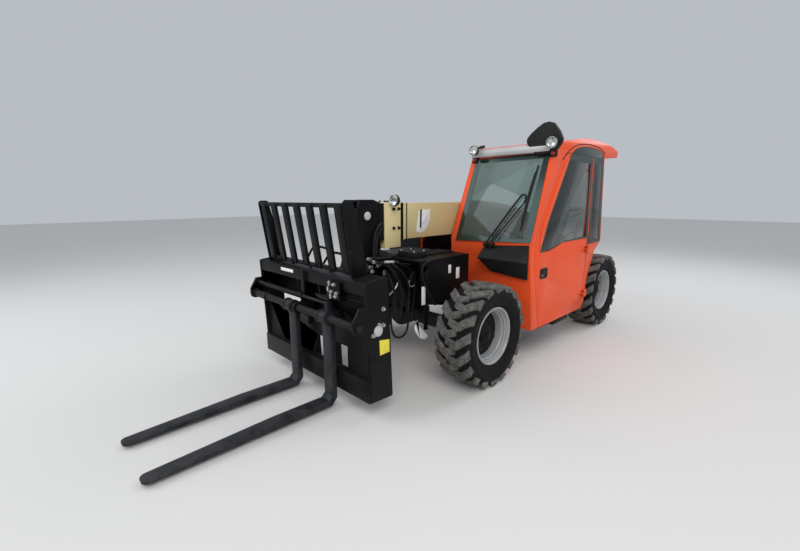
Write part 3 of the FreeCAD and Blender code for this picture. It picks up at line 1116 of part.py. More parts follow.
keep("positioner", group("positioner", carve("positioner_tube", join("positioner_case", barrel, barrel_foot), barrel_bore),
                         join("valve_set", valve, *pipes)))

fork_back = shaft[0] - 47
fork_low = tilt[1] - S.fork_drop


def fork(name, middle_y, extra):
    heel_x = fork_back + S.fork_thick
    tip_x = heel_x + S.fork_length - S.fork_thick
    low = middle_y - S.fork_width / 2
    high = middle_y + S.fork_width / 2
    blade_top = fork_low + S.fork_thick
    side = [
        (fork_back, fork_low + 45), (fork_back + 45, fork_low), (tip_x, fork_low), (tip_x, fork_low + 12),
        (heel_x + 420, blade_top), (heel_x + 30, blade_top), (heel_x, blade_top + 30),
        (heel_x, shaft[1] - 60), (heel_x + 12, shaft[1]), (fork_back, shaft[1])]
    body = prism(name + "_blade", "XZ", side, low, high)
    round_corners(body, name + "_heel", "XZ", 40, side[0], side[1])
    round_corners(body, name + "_tip", "XY", S.fork_width * 0.35, (tip_x, low), (tip_x, high))
    eye = rod(name + "_eye", "y", shaft, S.eye_radius, low, high)
    hole = rod(name + "_hole", "y", shaft, S.shaft_radius + S.pin_gap, low - 5, high + 5)
    bored = carve(name + "_bored", join(name + "_solid", body, eye), hole)
    return keep(name, join(name, bored, *extra) if extra else bored)


clamp_y = S.fork_left_y - 32
clamp = block("positioner_clamp", (slide_x - 18, slide_x + 18), (clamp_y, clamp_y + 40),
              (shaft[1] + S.eye_radius - 12, slide_z + 20))
positioner_rod = many_sided("positioner_rod", "y", (slide_x, slide_z), 11, S.boom_y - 350, clamp_y + 5, 12)
fork("fork_left", S.fork_left_y, [clamp, positioner_rod])
fork("fork_right", S.fork_right_y, [])

doc.recompute()
troubled = [feature.Name for feature in doc.Objects if "Invalid" in feature.State or "Error" in feature.State]
if troubled:
    raise RuntimeError("these features failed: " + ", ".join(troubled))
for feature in nodes:
    if feature.Shape.isNull() or not feature.Shape.isValid():
        raise RuntimeError("bad shape: " + feature.Label)
    if not feature.Shape.Solids:
        raise RuntimeError("no solid: " + feature.Label)
os.makedirs("parts", exist_ok=True)
for feature in nodes:
    feature.Shape.exportStep("parts/%s.step" % feature.Label)
print(len(nodes), "sub-parts written")
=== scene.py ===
import json
import math

import bpy
from mathutils import Matrix, Vector


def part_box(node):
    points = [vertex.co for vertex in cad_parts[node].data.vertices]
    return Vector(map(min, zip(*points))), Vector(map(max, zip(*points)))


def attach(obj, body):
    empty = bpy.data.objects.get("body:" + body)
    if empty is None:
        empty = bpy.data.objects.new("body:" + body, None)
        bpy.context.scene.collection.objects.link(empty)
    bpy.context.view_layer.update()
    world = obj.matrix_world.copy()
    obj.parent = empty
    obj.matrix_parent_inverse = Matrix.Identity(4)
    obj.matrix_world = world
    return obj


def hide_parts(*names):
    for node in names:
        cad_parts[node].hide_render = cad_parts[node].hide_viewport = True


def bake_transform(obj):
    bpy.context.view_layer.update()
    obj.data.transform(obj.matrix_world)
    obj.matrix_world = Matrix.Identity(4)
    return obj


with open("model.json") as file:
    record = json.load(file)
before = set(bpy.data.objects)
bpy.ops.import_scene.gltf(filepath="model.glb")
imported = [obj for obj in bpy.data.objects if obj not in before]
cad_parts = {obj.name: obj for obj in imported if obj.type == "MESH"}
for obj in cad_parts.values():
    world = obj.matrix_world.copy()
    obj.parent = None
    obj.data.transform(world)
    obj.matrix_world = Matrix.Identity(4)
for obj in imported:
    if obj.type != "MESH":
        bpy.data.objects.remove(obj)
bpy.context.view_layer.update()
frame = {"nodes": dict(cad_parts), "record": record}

# Compact telehandler: +X forward, +Y to its left, +Z up, metres

photoCamera = {
    "place": (2.8767, 2.4974, 1.480),
    "heading": -2.347,      # radians from +X
    "down": 0.1913,
    "roll": -0.0026,
    "lens": 18.07,          # on a 36 mm sensor
}


def aimCamera():
    heading, down = photoCamera["heading"], photoCamera["down"]
    ahead = Vector((math.cos(heading) * math.cos(down), math.sin(heading) * math.cos(down), -math.sin(down)))
    right = Vector((math.sin(heading), -math.cos(heading), 0))
    above = right.cross(ahead)
    turned = Matrix((right, above, -ahead)).transposed().to_4x4()
    camera = bpy.data.objects.new("photoCamera", bpy.data.cameras.new("photoCamera"))
    camera.data.sensor_width = 36
    camera.data.lens = photoCamera["lens"]
    camera.data.clip_end = 200
    camera.matrix_world = (Matrix.Translation(photoCamera["place"]) @ turned
                           @ Matrix.Rotation(photoCamera["roll"], 4, "Z"))
    bpy.context.scene.collection.objects.link(camera)
    bpy.context.scene.camera = camera


studio = {
    "floorTone": (0.74, 0.725, 0.70),
    "skyTone": (0.88, 0.93, 1.0),
    "skyStrength": 0.55,
    "lamps": [                    # place, where it aims, size, watts, tone
        ((4.5, 5.5, 6.5), (-0.4, 0.0, 0.8), 5.0, 330, (1.0, 0.98, 0.95)),
        ((5.5, -4.0, 5.0), (0.2, 0.0, 0.8), 5.0, 170, (0.93, 0.96, 1.0)),
        ((-6.0, 2.0, 6.0), (-0.5, 0.0, 1.0), 5.0, 170, (0.95, 0.97, 1.0)),
    ],
}


def buildStudio():
    bpy.ops.mesh.primitive_plane_add(size=60, location=(0, 0, 0))
    floor = bpy.context.object
    floor.name = "studioFloor"
    tone = bpy.data.materials.new("studioFloor")
    tone.use_nodes = True
    shader = tone.node_tree.nodes["Principled BSDF"]
    shader.inputs["Base Color"].default_value = (*studio["floorTone"], 1)
    shader.inputs["Roughness"].default_value = 0.85
    floor.data.materials.append(tone)
    for number, (place, aim, size, watts, colour) in enumerate(studio["lamps"]):
        lamp = bpy.data.lights.new("softLamp%d" % number, "AREA")
        lamp.size = size
        lamp.energy = watts
        lamp.color = colour
        stand = bpy.data.objects.new(lamp.name, lamp)
        stand.location = place
        stand.rotation_euler = (Vector(aim) - Vector(place)).to_track_quat("-Z", "Y").to_euler()
        bpy.context.scene.collection.objects.link(stand)
    world = bpy.data.worlds.new("softSky")
    world.use_nodes = True
    back = world.node_tree.nodes["Background"]
    back.inputs["Color"].default_value = (*studio["skyTone"], 1)
    back.inputs["Strength"].default_value = studio["skyStrength"]
    bpy.context.scene.world = world
    bpy.context.scene.view_settings.view_transform = "Standard"


aimCamera()
buildStudio()
print("camera and studio light ready")

# Finishes: every one reads Object coordinates, in metres


def startMaterial(name):
    made = bpy.data.materials.new(name)
    made.use_nodes = True
    return made, made.node_tree.nodes, made.node_tree.links, made.node_tree.nodes["Principled BSDF"]


def noiseAt(nodes, links, scale, detail=4.0, rough=0.55, stretch=(1, 1, 1)):
    place = nodes.new("ShaderNodeTexCoord")
    mapping = nodes.new("ShaderNodeMapping")
    mapping.inputs["Scale"].default_value = stretch
    noise = nodes.new("ShaderNodeTexNoise")
    noise.inputs["Scale"].default_value = scale
    noise.inputs["Detail"].default_value = detail
    noise.inputs["Roughness"].default_value = rough
    links.new(place.outputs["Object"], mapping.inputs["Vector"])
    links.new(mapping.outputs["Vector"], noise.inputs["Vector"])
    return noise.outputs["Fac"]


def ramp(nodes, links, source, low, high, bottom=0.0, top=1.0):
    step = nodes.new("ShaderNodeMapRange")
    step.inputs["From Min"].default_value = low
    step.inputs["From Max"].default_value = high
    step.inputs["To Min"].default_value = bottom
    step.inputs["To Max"].default_value = top
    links.new(source, step.inputs["Value"])
    return step.outputs["Result"]


def combine(nodes, links, kind, first, second):
    sum_ = nodes.new("ShaderNodeMath")
    sum_.operation = kind
    for socket, value in zip(sum_.inputs, (first, second)):
        if isinstance(value, (int, float)):
            socket.default_value = value
        else:
            links.new(value, socket)
    return sum_.outputs["Value"]


def mixColour(nodes, links, share, first, second):
    mix = nodes.new("ShaderNodeMix")
    mix.data_type = "RGBA"
    links.new(share, mix.inputs["Factor"])
    for socket, value in zip((mix.inputs[6], mix.inputs[7]), (first, second)):
        if isinstance(value, tuple):
            socket.default_value = (*value, 1)
        else:
            links.new(value, socket)
    return mix.outputs[2]


def addBump(nodes, links, shader, height, distance, strength):
    bump = nodes.new("ShaderNodeBump")
    bump.inputs["Distance"].default_value = distance
    bump.inputs["Strength"].default_value = strength
    links.new(height, bump.inputs["Height"])
    links.new(bump.outputs["Normal"], shader.inputs["Normal"])


paintColumns = ("tone", "fade", "dustTone", "chipTone", "rough", "sheen", "coat", "dust", "chips")
paints = {
    "blackPaint": ((0.004, 0.0042, 0.005), (0.009, 0.009, 0.0095), (0.12, 0.11, 0.095), (0.14, 0.11, 0.09),
                   0.42, 0.1, 0.03, 0.1, 0.1),
    "orangePaint": ((0.93, 0.098, 0.022), (0.84, 0.092, 0.024), (0.45, 0.22, 0.14), (0.28, 0.09, 0.05),
                    0.34, 0.16, 0.06, 0.08, 0.05),
    "creamPaint": ((0.80, 0.66, 0.33), (0.72, 0.60, 0.31), (0.34, 0.29, 0.2), (0.2, 0.15, 0.09),
                   0.33, 0.3, 0.4, 0.22, 0.06),
    "forkPaint": ((0.009, 0.011, 0.015), (0.019, 0.021, 0.026), (0.2, 0.18, 0.16), (0.17, 0.12, 0.09),
                  0.45, 0.16, 0.05, 0.22, 0.3),
    "castGrey": ((0.010, 0.010, 0.011), (0.024, 0.022, 0.021), (0.11, 0.10, 0.09), (0.13, 0.08, 0.05),
                 0.6, 0.15, 0.0, 0.3, 0.15),
    "rimSilver": ((0.36, 0.37, 0.38), (0.27, 0.275, 0.28), (0.3, 0.27, 0.23), (0.16, 0.12, 0.09),
                  0.34, 0.5, 0.2, 0.3, 0.06),
}


def paint(name):
    look = dict(zip(paintColumns, paints[name]))
    made, nodes, links, shader = startMaterial(name)
    patches = ramp(nodes, links, noiseAt(nodes, links, 2.2, 5), 0.35, 0.7)
    colour = mixColour(nodes, links, patches, look["tone"], look["fade"])
    face = nodes.new("ShaderNodeNewGeometry")
    split = nodes.new("ShaderNodeSeparateXYZ")
    links.new(face.outputs["Normal"], split.inputs["Vector"])
    facesUp = ramp(nodes, links, split.outputs["Z"], 0.2, 1.0)
    spot = nodes.new("ShaderNodeSeparateXYZ")
    place = nodes.new("ShaderNodeTexCoord")
    links.new(place.outputs["Object"], spot.inputs["Vector"])
    nearGround = ramp(nodes, links, spot.outputs["Z"], 0.9, 0.1)
    settled = combine(nodes, links, "MAXIMUM", facesUp, nearGround)
    grain = ramp(nodes, links, noiseAt(nodes, links, 9, 8, 0.7), 0.38, 0.72)
    dusty = combine(nodes, links, "MULTIPLY", settled, grain)
    dusty = combine(nodes, links, "MULTIPLY", dusty, look["dust"])
    colour = mixColour(nodes, links, dusty, colour, look["dustTone"])
    flecks = ramp(nodes, links, noiseAt(nodes, links, 60, 4, 0.7), 0.66, 0.7)
    where = ramp(nodes, links, noiseAt(nodes, links, 5, 3), 0.5, 0.62)
    chipped = combine(nodes, links, "MULTIPLY", flecks, where)
    chipped = combine(nodes, links, "MULTIPLY", chipped, min(1.0, look["chips"] * 4))
    colour = mixColour(nodes, links, chipped, colour, look["chipTone"])
    links.new(colour, shader.inputs["Base Color"])
    dull = ramp(nodes, links, dusty, 0.0, 0.5, look["rough"], min(0.9, look["rough"] + 0.35))
    dull = combine(nodes, links, "ADD", dull, ramp(nodes, links, patches, 0, 1, -0.04, 0.06))
    links.new(dull, shader.inputs["Roughness"])
    shader.inputs["Specular IOR Level"].default_value = look["sheen"]
    shader.inputs["Coat Weight"].default_value = look["coat"]
    shader.inputs["Coat Roughness"].default_value = 0.12
    peel = noiseAt(nodes, links, 220, 2)
    height = combine(nodes, links, "SUBTRACT", combine(nodes, links, "MULTIPLY", peel, 0.25), chipped)
    addBump(nodes, links, shader, height, 0.0006, 0.5)
    return made


plasticDust = (0.2, 0.18, 0.16)


def plastic(name, tone, rough, grainScale, dust):
    made, nodes, links, shader = startMaterial(name)
    patches = ramp(nodes, links, noiseAt(nodes, links, 3, 4), 0.3, 0.75, 0.0, dust)
    links.new(mixColour(nodes, links, patches, tone, plasticDust), shader.inputs["Base Color"])
    shader.inputs["Specular IOR Level"].default_value = 0.22
    grain = noiseAt(nodes, links, grainScale, 3)
    links.new(ramp(nodes, links, grain, 0.3, 0.7, rough - 0.05, rough + 0.12), shader.inputs["Roughness"])
    addBump(nodes, links, shader, grain, 0.0004, 0.6)
    return made


def rubber(name, tone, dustTone, dustLow, dustHigh):
    made, nodes, links, shader = startMaterial(name)
    dust = ramp(nodes, links, noiseAt(nodes, links, 26, 8, 0.72), dustLow, dustHigh)
    links.new(mixColour(nodes, links, dust, tone, dustTone), shader.inputs["Base Color"])
    shader.inputs["Roughness"].default_value = 0.82
    shader.inputs["Specular IOR Level"].default_value = 0.2
    addBump(nodes, links, shader, noiseAt(nodes, links, 300, 5, 0.7), 0.0008, 0.7)
    return made


def glazing(name, tone, rough):
    made, nodes, links, shader = startMaterial(name)
    smear = ramp(nodes, links, noiseAt(nodes, links, 4, 5, 0.6), 0.5, 0.85, rough, rough + 0.03)
    links.new(smear, shader.inputs["Roughness"])
    shader.inputs["Base Color"].default_value = (*tone, 1)
    shader.inputs["Transmission Weight"].default_value = 0.92
    shader.inputs["IOR"].default_value = 1.4
    return made


def chrome(name):
    made, nodes, links, shader = startMaterial(name)
    shader.inputs["Base Color"].default_value = (0.66, 0.67, 0.69, 1)
    shader.inputs["Metallic"].default_value = 1.0
    smears = noiseAt(nodes, links, 12, 6, 0.6, (1, 1, 6))
    links.new(ramp(nodes, links, smears, 0.35, 0.7, 0.12, 0.34), shader.inputs["Roughness"])
    return made


def fabric(name, tone, light):
    made, nodes, links, shader = startMaterial(name)
    place = nodes.new("ShaderNodeTexCoord")
    threads = []
    for stretch in ((900, 0, 0), (0, 900, 900)):
        mapping = nodes.new("ShaderNodeMapping")
        mapping.inputs["Scale"].default_value = stretch
        wave = nodes.new("ShaderNodeTexWave")
        wave.inputs["Scale"].default_value = 0.6
        links.new(place.outputs["Object"], mapping.inputs["Vector"])
        links.new(mapping.outputs["Vector"], wave.inputs["Vector"])
        threads.append(wave.outputs["Fac"])
    weave = combine(nodes, links, "MULTIPLY", threads[0], threads[1])
    links.new(mixColour(nodes, links, weave, tone, light), shader.inputs["Base Color"])
    shader.inputs["Roughness"].default_value = 0.9
    shader.inputs["Sheen Weight"].default_value = 0.3
    addBump(nodes, links, shader, weave, 0.0005, 0.5)
    return made


def plain(name, tone, rough, metal):
    made, nodes, links, shader = startMaterial(name)
    wear = ramp(nodes, links, noiseAt(nodes, links, 14, 6, 0.65), 0.4, 0.75, 0.0, 0.35)
    dim = tuple(0.55 * part + 0.05 for part in tone)
    links.new(mixColour(nodes, links, wear, tone, dim), shader.inputs["Base Color"])
    links.new(ramp(nodes, links, noiseAt(nodes, links, 45, 4), 0.3, 0.7, rough, rough + 0.15),
              shader.inputs["Roughness"])
    shader.inputs["Metallic"].default_value = metal
    addBump(nodes, links, shader, noiseAt(nodes, links, 160, 3), 0.0003, 0.4)
    return made


finish = {name: paint(name) for name in paints}
for name, tone, rough, grainScale, dust in (
        ("blackPlastic", (0.006, 0.006, 0.0065), 0.5, 400, 0.08),
        ("greyPlastic", (0.60, 0.60, 0.61), 0.45, 300, 0.35),
        ("sealRubber", (0.014, 0.014, 0.015), 0.6, 500, 0.12)):
    finish[name] = plastic(name, tone, rough, grainScale, dust)
for name, tone, dustTone, dustLow, dustHigh in (
        ("tyreWall", (0.006, 0.006, 0.0065), (0.03, 0.028, 0.025), 0.5, 0.85),
        ("tyreLug", (0.055, 0.053, 0.050), (0.19, 0.18, 0.165), 0.36, 0.66),
        ("hoseBlack", (0.018, 0.018, 0.019), (0.12, 0.11, 0.10), 0.55, 0.85)):
    finish[name] = rubber(name, tone, dustTone, dustLow, dustHigh)
for name, tone, rough in (("windowGlass", (0.52, 0.62, 0.58), 0.0), ("sideGlass", (0.19, 0.225, 0.215), 0.0),
                          ("lampLens", (0.92, 0.94, 0.96), 0.1)):
    finish[name] = glazing(name, tone, rough)
for name, tone, rough, metal in (
        ("glassEdge", (0.010, 0.019, 0.017), 0.05, 0.0), ("redLens", (0.28, 0.015, 0.012), 0.2, 0.0),
        ("labelWhite", (0.92, 0.92, 0.90), 0.5, 0.0), ("labelYellow", (0.85, 0.72, 0.06), 0.45, 0.0),
        ("pointerBlack", (0.02, 0.02, 0.02), 0.5, 0.0), ("zinc", (0.55, 0.54, 0.5), 0.3, 0.9),
        ("reflector", (0.8, 0.8, 0.8), 0.12, 1.0)):
    finish[name] = plain(name, tone, rough, metal)
edgeShader = finish["glassEdge"].node_tree.nodes["Principled BSDF"]
edgeShader.inputs["Specular Tint"].default_value = (0.72, 1.0, 0.93, 1)
finish["chromeRod"] = chrome("chromeRod")
finish["seatCover"] = fabric("seatCover", (0.03, 0.03, 0.034), (0.085, 0.085, 0.09))
print("finishes ready")

slotLook = {
    "black_paint": "blackPaint", "orange_paint": "orangePaint", "cream_paint": "creamPaint",
    "fork_paint": "forkPaint", "tyre_rubber": "tyreWall", "rim_silver": "rimSilver", "cast_grey": "castGrey",
    "window_glass": "windowGlass", "chrome_rod": "chromeRod", "black_plastic": "blackPlastic",
    "grey_plastic": "greyPlastic", "seat_cover": "seatCover", "lamp_lens": "lampLens",
}
lookSlot = {look: slot for slot, look in slotLook.items()}
lookSlot.update({
    "sealRubber": "black_plastic", "glassEdge": "black_plastic", "sideGlass": "window_glass",
    "tyreLug": "tyre_rubber", "hoseBlack": "black_plastic",
    "redLens": "lamp_lens", "labelWhite": "grey_plastic", "labelYellow": "cream_paint",
    "pointerBlack": "black_plastic", "zinc": "chrome_rod", "reflector": "chrome_rod",
})
nodeSlot = {row["node"]: row["material_slot"] for row in frame["record"]["subparts"]}
for node, piece in frame["nodes"].items():
    piece.data.materials.clear()
    piece.data.materials.append(finish[slotLook[nodeSlot[node]]])
bodyOf = {}
for body, members in frame["record"]["behaviour"]["bodies"].items():
    for node in members:
        bodyOf[node] = body

# Ways of modelling


def pickOnly(piece):
    bpy.ops.object.select_all(action="DESELECT")
    piece.select_set(True)
    bpy.context.view_layer.objects.active = piece


def openEdit(piece, how="SELECT"):
    pickOnly(piece)
    bpy.ops.object.mode_set(mode="EDIT")
    bpy.ops.mesh.select_all(action=how)


def closeEdit():
    bpy.ops.object.mode_set(mode="OBJECT")


def settle(piece):
    pickOnly(piece)
    bpy.ops.object.transform_apply(location=True, rotation=True, scale=True)


def smoothed(piece, angle=35):
    pickOnly(piece)
    bpy.ops.object.shade_smooth_by_angle(angle=math.radians(angle))


def bevelled(piece, width, steps=2, angle=32):
    edges = piece.modifiers.new("edges", "BEVEL")
    edges.width = width
    edges.segments = steps
    edges.limit_method = "ANGLE"
    edges.angle_limit = math.radians(angle)
    edges.use_clamp_overlap = width > 0.004
    pickOnly(piece)
    bpy.ops.object.modifier_apply(modifier="edges")
    smoothed(piece)


def coated(piece, look):
    settle(piece)
    piece.data.materials.clear()
    piece.data.materials.append(finish[look])
    return piece


def dress(piece, body, look, *nodes):
    coated(piece, look)
    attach(piece, body)
    if nodes:
        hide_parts(*nodes)
    return piece


def drawLine(name, points):
    bpy.ops.object.select_all(action="DESELECT")
    bpy.ops.mesh.primitive_plane_add(size=0.01, location=points[0])
    made = bpy.context.object
    made.name = name
    bpy.ops.object.mode_set(mode="EDIT")
    bpy.ops.mesh.select_mode(type="VERT")
    bpy.ops.mesh.merge(type="CENTER")
    here = Vector(points[0])
    for point in points[1:]:
        step = Vector(point) - here
        bpy.ops.mesh.extrude_vertices_move(TRANSFORM_OT_translate={"value": step})
        here = Vector(point)
    bpy.ops.mesh.select_all(action="SELECT")
    return made


def plate(name, outline, thick, edge=0.002, steps=2):
    made = drawLine(name, outline)
    bpy.ops.mesh.edge_face_add()
    bpy.ops.mesh.extrude_region_move(TRANSFORM_OT_translate={"value": Vector(thick)})
    bpy.ops.mesh.select_all(action="SELECT")
    bpy.ops.mesh.normals_make_consistent(inside=False)
    closeEdit()
    settle(made)
    if edge:
        bevelled(made, edge, steps)
    return made


def slab(name, low, high, edge=0.003):
    outline = [(low[0], low[1], low[2]), (high[0], low[1], low[2]), (high[0], high[1], low[2]),
               (low[0], high[1], low[2])]
    return plate(name, outline, (0, 0, high[2] - low[2]), edge)


def ringPlate(name, outer, inner, thick, edge=0.0008):
    loops = []
    for part, points in (("", outer), ("Hole", inner)):
        loops.append(drawLine(name + part, points))
        bpy.ops.mesh.edge_face_add()
        bpy.ops.mesh.delete(type="ONLY_FACE")
        closeEdit()
    ring = joined(name, loops)
    openEdit(ring)
    bpy.ops.mesh.bridge_edge_loops()
    bpy.ops.mesh.select_all(action="SELECT")
    bpy.ops.mesh.extrude_region_move(TRANSFORM_OT_translate={"value": Vector(thick)})
    bpy.ops.mesh.select_all(action="SELECT")
    bpy.ops.mesh.normals_make_consistent(inside=False)
    closeEdit()
    settle(ring)
    if edge:
        bevelled(ring, edge, 1)
    return ring


axes = {"x": Vector((1, 0, 0)), "y": Vector((0, 1, 0)), "z": Vector((0, 0, 1))}


def turned(name, profile, centre, axis, steps=48, flip=1):
    centre = Vector(centre)
    along = axes[axis] * flip
    out = axes["x"] if axis == "z" else axes["z"]
    points = [centre + along * across + out * radius for radius, across in profile]
    if profile[0][0] > 0 or profile[-1][0] > 0:
        points.append(points[0])
    made = drawLine(name, points)
    bpy.ops.mesh.spin(steps=steps, angle=math.tau, center=centre, axis=axes[axis])
    bpy.ops.mesh.select_all(action="SELECT")
    bpy.ops.mesh.remove_doubles(threshold=0.00002)
    bpy.ops.mesh.normals_make_consistent(inside=False)
    closeEdit()
    settle(made)
    smoothed(made, 40)
    return made


def duplicate(piece, name, matrix):
    twin = piece.copy()
    twin.data = piece.data.copy()
    twin.name = name
    bpy.context.scene.collection.objects.link(twin)
    twin.data.transform(matrix)
    if matrix.determinant() < 0:
        openEdit(twin)
        bpy.ops.mesh.flip_normals()
        closeEdit()
    return twin


def joined(name, pieces):
    bpy.ops.object.select_all(action="DESELECT")
    for piece in pieces:
        piece.select_set(True)
    bpy.context.view_layer.objects.active = pieces[0]
    if len(pieces) > 1:
        bpy.ops.object.join()
    whole = bpy.context.view_layer.objects.active
    whole.name = name
    return whole


def tube(name, points, radius, order=3):
    line = bpy.data.curves.new(name, "CURVE")
    line.dimensions = "3D"
    line.bevel_depth = radius
    line.bevel_resolution = 3
    line.use_fill_caps = True
    line.resolution_u = 10
    run = line.splines.new("NURBS")
    run.points.add(len(points) - 1)
    for spot, point in zip(run.points, points):
        spot.co = (*point, 1)
    run.order_u = order
    run.use_endpoint_u = True
    made = bpy.data.objects.new(name, line)
    bpy.context.scene.collection.objects.link(made)
    pickOnly(made)
    bpy.ops.object.convert(target="MESH")
    made = bpy.context.object
    smoothed(made, 50)
    return made


def pipe(name, points, radius, body, look="hoseBlack", order=3):
    return dress(tube(name, points, radius, order), body, look)


# Tables of pieces: each row starts with its look, and ends with what its maker takes
def addSlabs(body, rows):
    for name, (look, *how) in rows.items():
        dress(slab(name, *how), body, look)


def addPlates(body, rows):
    for name, (look, *how) in rows.items():
        dress(plate(name, *how), body, look)


def addTurned(body, rows):
    for name, (look, *how) in rows.items():
        dress(turned(name, *how), body, look)


def addPipes(body, rows):
    for name, (look, radius, points, *how) in rows.items():
        pipe(name, points, radius, body, look, *how)


# One piece of like turned parts, their axes taken in turn
def turnedRow(name, profile, places, ways, steps, body, look):
    row = [turned("%sPart%d" % (name, number), profile, place, ways[number % len(ways)], steps)
           for number, place in enumerate(places)]
    dress(joined(name, row), body, look)


# Outlines drawn flat: seen from the side, from the front and from above
def side(y, pairs):
    return [(x, y, z) for x, z in pairs]


def front(x, pairs):
    return [(x, y, z) for y, z in pairs]


def level(z, pairs):
    return [(x, y, z) for x, y in pairs]


def oblong(low, high):
    return [low, (high[0], low[1]), high, (low[0], high[1])]


def boltHead(size):
    bpy.ops.object.select_all(action="DESELECT")
    bpy.ops.mesh.primitive_cylinder_add(vertices=6, radius=size, depth=size * 1.2, location=(0, 0, size * 0.8))
    head = bpy.context.object
    openEdit(head, "DESELECT")
    closeEdit()
    for face in head.data.polygons:
        face.select = face.normal.z > 0.9
    bpy.ops.object.mode_set(mode="EDIT")
    bpy.ops.mesh.inset(thickness=size * 0.2)
    bpy.ops.transform.translate(value=(0, 0, size * 0.12))
    bpy.ops.mesh.inset(thickness=size * 0.25)
    bpy.ops.transform.translate(value=(0, 0, -size * 0.15))
    closeEdit()
    settle(head)
    washerLine = [(0.3, 0), (1.35, 0), (1.35, 0.2), (0.3, 0.25)]
    washer = turned("washer", [(size * radius, size * z) for radius, z in washerLine], (0, 0, 0), "z", 16)
    head = joined("boltHead", [head, washer])
    smoothed(head, 30)
    return head


def bolts(name, places, facing, size, body, look="zinc"):
    head = boltHead(size)
    turn = Vector(facing).to_track_quat("Z", "Y").to_matrix().to_4x4()
    row = [duplicate(head, "%s%d" % (name, number), Matrix.Translation(place) @ turn)
           for number, place in enumerate(places)]
    bpy.data.objects.remove(head)
    return dress(joined(name, row), body, look)


def meshCopy(node, name):
    piece = frame["nodes"][node].copy()
    piece.data = piece.data.copy()
    piece.name = name
    piece.parent = None
    for key in list(piece.keys()):
        del piece[key]
    bpy.context.scene.collection.objects.link(piece)
    openEdit(piece)
    bpy.ops.mesh.remove_doubles(threshold=0.00004)
    bpy.ops.mesh.dissolve_limited(angle_limit=math.radians(0.6))
    closeEdit()
    return piece


def softened(node, width, steps=2, look=None):
    piece = meshCopy(node, node + "_shaped")
    bevelled(piece, width, steps)
    return dress(piece, bodyOf[node], look or slotLook[nodeSlot[node]], node)


# Every sheet-metal piece gets its real rolled or cut edge
edgeWidths = {
    "main_frame": 0.003, "boom_tower": 0.003, "ballast": 0.008, "cab_frame": 0.004, "cab_roof": 0.012,
    "roof_visor": 0.010, "door_panel": 0.004, "engine_hood": 0.006, "outer_boom": 0.004, "inner_boom": 0.004,
    "boom_head": 0.003, "coupler": 0.003, "carriage_frame": 0.003, "backrest": 0.002, "fork_left": 0.0025,
    "fork_right": 0.0025, "seat_base": 0.015, "side_console": 0.020, "fuel_tank": 0.020, "engine_block": 0.010,
    "positioner": 0.002,
}
for node, width in edgeWidths.items():
    softened(node, width)
softened("fork_shaft", 0.0015, 2, "castGrey")
for node in ("lift_barrel", "tilt_barrel", "lift_rod", "tilt_rod", "front_axle", "rear_axle",
             "knuckle_front_left", "knuckle_front_right", "knuckle_rear_left", "knuckle_rear_right",
             "steering_column"):
    softened(node, 0.0015, 2)


# The roof's front falls in a long curve to the visor
def fallOf(x):
    marks = [(-1.36, 0.0), (-1.10, 0.024), (-0.944, 0.044), (-0.80, 0.045), (-0.70, 0.012), (-0.64, 0.0)]
    for (x0, low), (x1, high) in zip(marks, marks[1:]):
        if x0 <= x <= x1:
            return low + (high - low) * (x - x0) / (x1 - x0)
    return 0.0


for spot in bpy.data.objects["cab_roof_shaped"].data.vertices:
    if spot.co.z > 1.955:
        spot.co.z -= fallOf(spot.co.x)
print("metal shaped")

# Wheels
wheel = {
    "places": {"front_left": (0.25, 0.7525, 1), "front_right": (0.25, -0.7525, -1),
               "rear_left": (-2.04, 0.7525, 1), "rear_right": (-2.04, -0.7525, -1)},
    "height": 0.413,
    "lugs": 18,
    "crown": 0.4125,
    # size, count, circle's radius, where they seat, share of a step that turns the circle
    "hubBolts": (0.006, 6, 0.046, 0.059, 0),
    "nuts": (0.0125, 8, 0.1375, 0.024, 0.5),
}
carcassLine = [
    (0.216, -0.1105), (0.2350, -0.1135), (0.2500, -0.1310), (0.2560, -0.1365), (0.2600, -0.1350),
    (0.2900, -0.1465), (0.3200, -0.1510), (0.3240, -0.1535), (0.3290, -0.1535), (0.3330, -0.1505),
    (0.3560, -0.1480), (0.3740, -0.1400), (0.3860, -0.1260), (0.3905, -0.1050), (0.3930, -0.0500),
    (0.3935, 0.0)]
rimLine = [
    (0.174, 0.016), (0.184, 0.016), (0.1855, 0.034), (0.1875, 0.060), (0.1895, 0.070), (0.1975, 0.077),
    (0.1995, 0.092), (0.2080, 0.099), (0.2100, 0.112), (0.2190, 0.1235), (0.2290, 0.1245), (0.2325, 0.1190),
    (0.2300, 0.1135), (0.2150, 0.1125),
    (0.2135, 0.0900), (0.1940, 0.0450), (0.1920, -0.0700), (0.2135, -0.1100), (0.2300, -0.1135),
    (0.2325, -0.1190), (0.2290, -0.1245), (0.2190, -0.1235), (0.1820, -0.0700), (0.1780, 0.0060)]
discLine = [
    (0.055, 0.0240), (0.075, 0.0200), (0.112, 0.0190), (0.118, 0.0240), (0.158, 0.0240), (0.164, 0.0185),
    (0.1785, 0.0180), (0.1785, 0.0100), (0.055, 0.0100)]
hubLine = [
    (0.0, 0.0760), (0.022, 0.0760), (0.027, 0.0720), (0.029, 0.0610), (0.056, 0.0590), (0.063, 0.0550),
    (0.066, 0.0360), (0.066, 0.0120), (0.0, 0.0120)]


